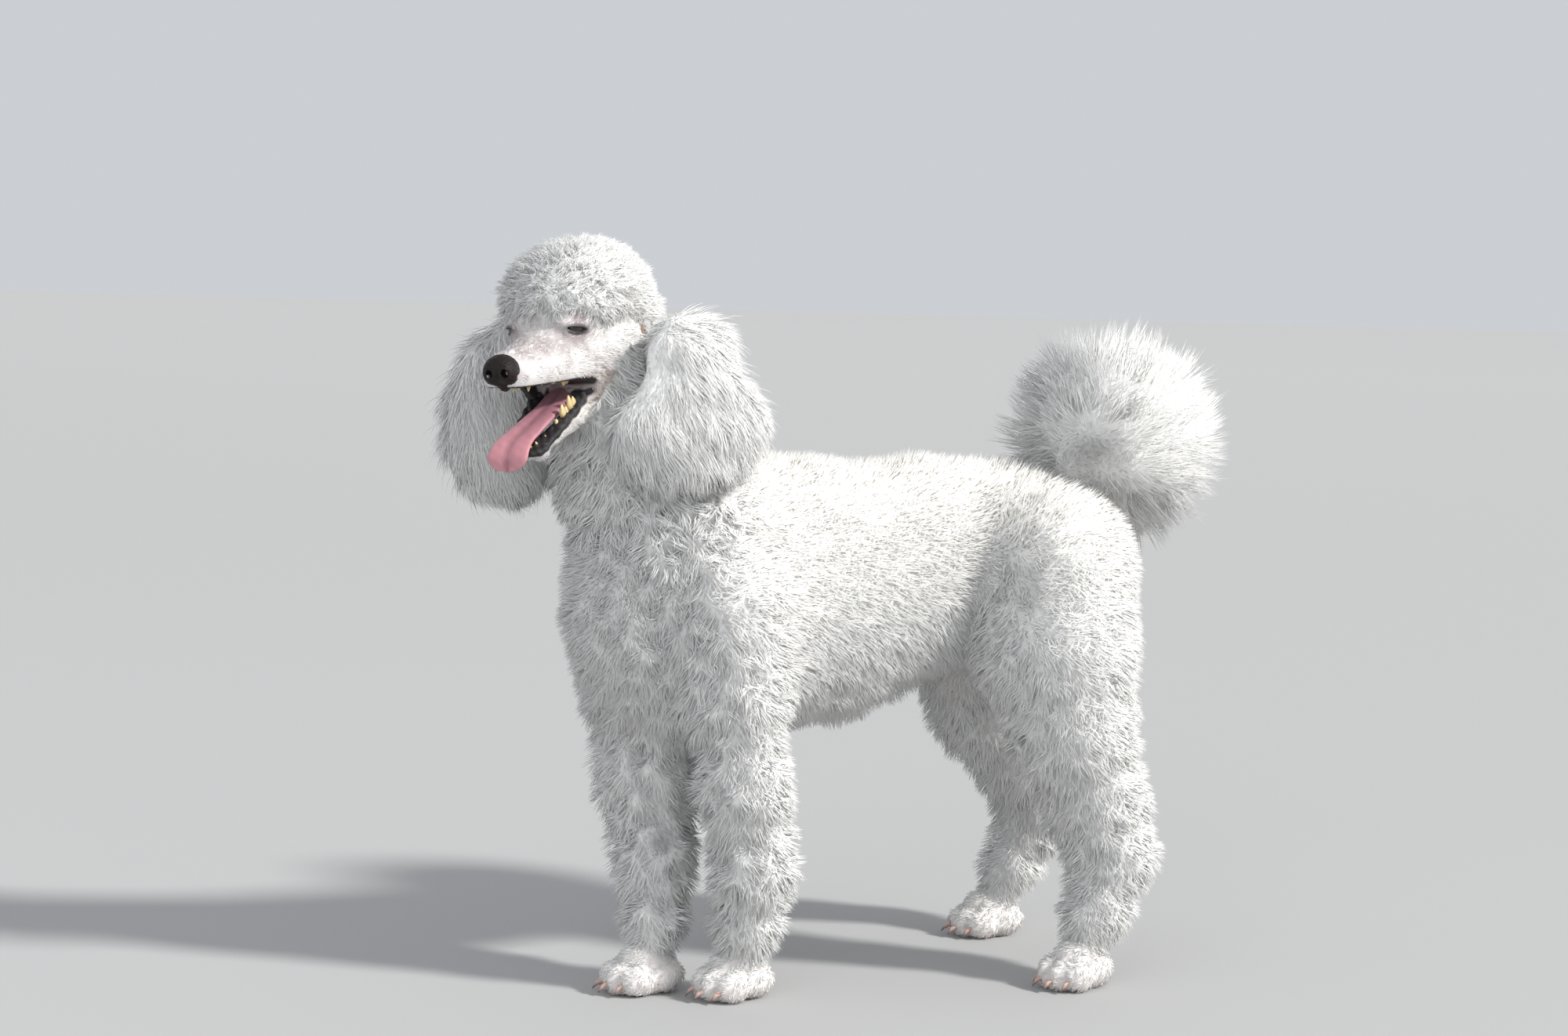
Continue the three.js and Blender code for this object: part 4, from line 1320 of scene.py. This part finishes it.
# For each mass: the hair's depth, the lumps' height and size, two corners of its box, and its style
MASS_LOOKS = {
    "topknot": (15, (2.2, 20), (-270, -100, 640), (-20, 110, 840), WOOLLY),
    "ear_left": (8, (1.5, 45), (-190, -160, 540), (40, -50, 770), SILKY),
    "ear_right": (8, (1.5, 45), (-300, 10, 510), (-140, 120, 760), SILKY),
    "tail": (36, (4.0, 60), (340, -130, 470), (660, 130, 750), POMPON),
}


def mass_flow(name, p):
    """Which way the locks of a mass lie: any way on the tail, outwards on the topknot, down on the ears."""
    if name == "tail":
        return np.array([0.1, 0, 0.25]) + 0.3 * waves(p, 80, 7)[:, None] * [1, 1, 1]
    if name == "topknot":
        return unit(p - from_head((-90, 0, 100))) + 0.5 * waves(p, 40, 8)[:, None] * [1, 1, 0.5]
    return np.array([0.35, 0, -1.0]) + 0.12 * waves(p, 60, 9)[:, None] * [1, 1, 0]


def shows(name):
    """Whether points of a mass lie clear of the skin and of the other masses."""
    others = nearest(*[field for other, field in MASSES.items() if other != name])
    return lambda p: (WHOLE_SKIN(p.astype(np.float32)) > -1) & (others(p.astype(np.float32)) > -12)


def mass_piece(name, seeds, depth, lumps, low, high, reach, width, **style):
    """The soft inside of a mass and the hair that stands out of it."""
    inner = shrunk(MASSES[name], depth)
    points, quads = net(inner, [np.arange(a, b + MASS_CELL, MASS_CELL) for a, b in zip(low, high)])
    points = settled(inner, points)
    points = points + lumps[0] * waves(points, lumps[1], 38)[:, None] * normals_of(inner, points)
    tinted_piece(f"{name}_under", points, quads, WHITE * 0.95, HAIR, "coat_white", name)

    def dress(p):
        length = depth * reach
        if name == "ear_left":
            length = length * (1 - 0.8 * before_ear(p))
        return mass_flow(name, p), length, width, WHITE[None]

    grow(f"{name}_hair", points, quads, shows(name), seeds, dress, HAIR, **style)


for order, (name, (*shape, style)) in enumerate(MASS_LOOKS.items()):
    mass_piece(name, (40 + order, 50 + order), *shape, **style)


# Stage, lights and camera


def stage():
    mesh = bpy.data.meshes.new("floor")
    corners = [(x * FLOOR_HALF, y * FLOOR_HALF, 0) for x, y in ((-1, -1), (1, -1), (1, 1), (-1, 1))]
    mesh.from_pydata(corners, [], [(0, 1, 2, 3)])
    floor = added("floor", mesh)
    material, nodes, links, shader = new_material("floor")
    links.new(noise_between(nodes, links, 3, 0.43, 0.46)[1], shader.inputs["Base Color"])
    shader.inputs["Roughness"].default_value = 0.9
    floor.data.materials.append(material)


def lamp(name, kind, place, target, power, spread, colour):
    """A light aimed at the target: spread is an area light's size in metres or a sun's angle in degrees."""
    data = bpy.data.lights.new(name, kind)
    data.energy = power
    data.color = colour
    if kind == "SUN":
        data.angle = math.radians(spread)
    else:
        data.size = spread
    light = added(name, data)
    light.location = place
    light.rotation_euler = (Vector(target) - Vector(place)).to_track_quat("-Z", "Y").to_euler()


def lights():
    lamp("key", "SUN", (2.1, -2.3, 2.4), (0, 0, 0), 3.7, 7, (1.0, 0.985, 0.95))
    lamp("fill", "AREA", (-3.0, -3.4, 2.2), (0, 0, 0.45), 45, 3.0, (0.92, 0.96, 1.0))
    world = bpy.data.worlds.new("studio")
    world.use_nodes = True
    background = world.node_tree.nodes["Background"]
    background.inputs["Color"].default_value = (0.60, 0.62, 0.65, 1)
    background.inputs["Strength"].default_value = 1.0
    bpy.context.scene.world = world
    bpy.context.scene.view_settings.view_transform = "Standard"


def camera():
    turn = turn_about("Z", -CAMERA_TURN) @ turn_about("X", 90 - CAMERA_DIP) @ turn_about("Z", CAMERA_ROLL)
    data = bpy.data.cameras.new("camera")
    data.lens = CAMERA_LENS
    data.sensor_width = 36
    data.clip_end = 100
    view = added("camera", data)
    view.matrix_world = Matrix(turn.tolist()).to_4x4()
    view.matrix_world.translation = Vector(to_frame(CAMERA_PLACE))
    bpy.context.scene.camera = view


stage()
lights()
camera()
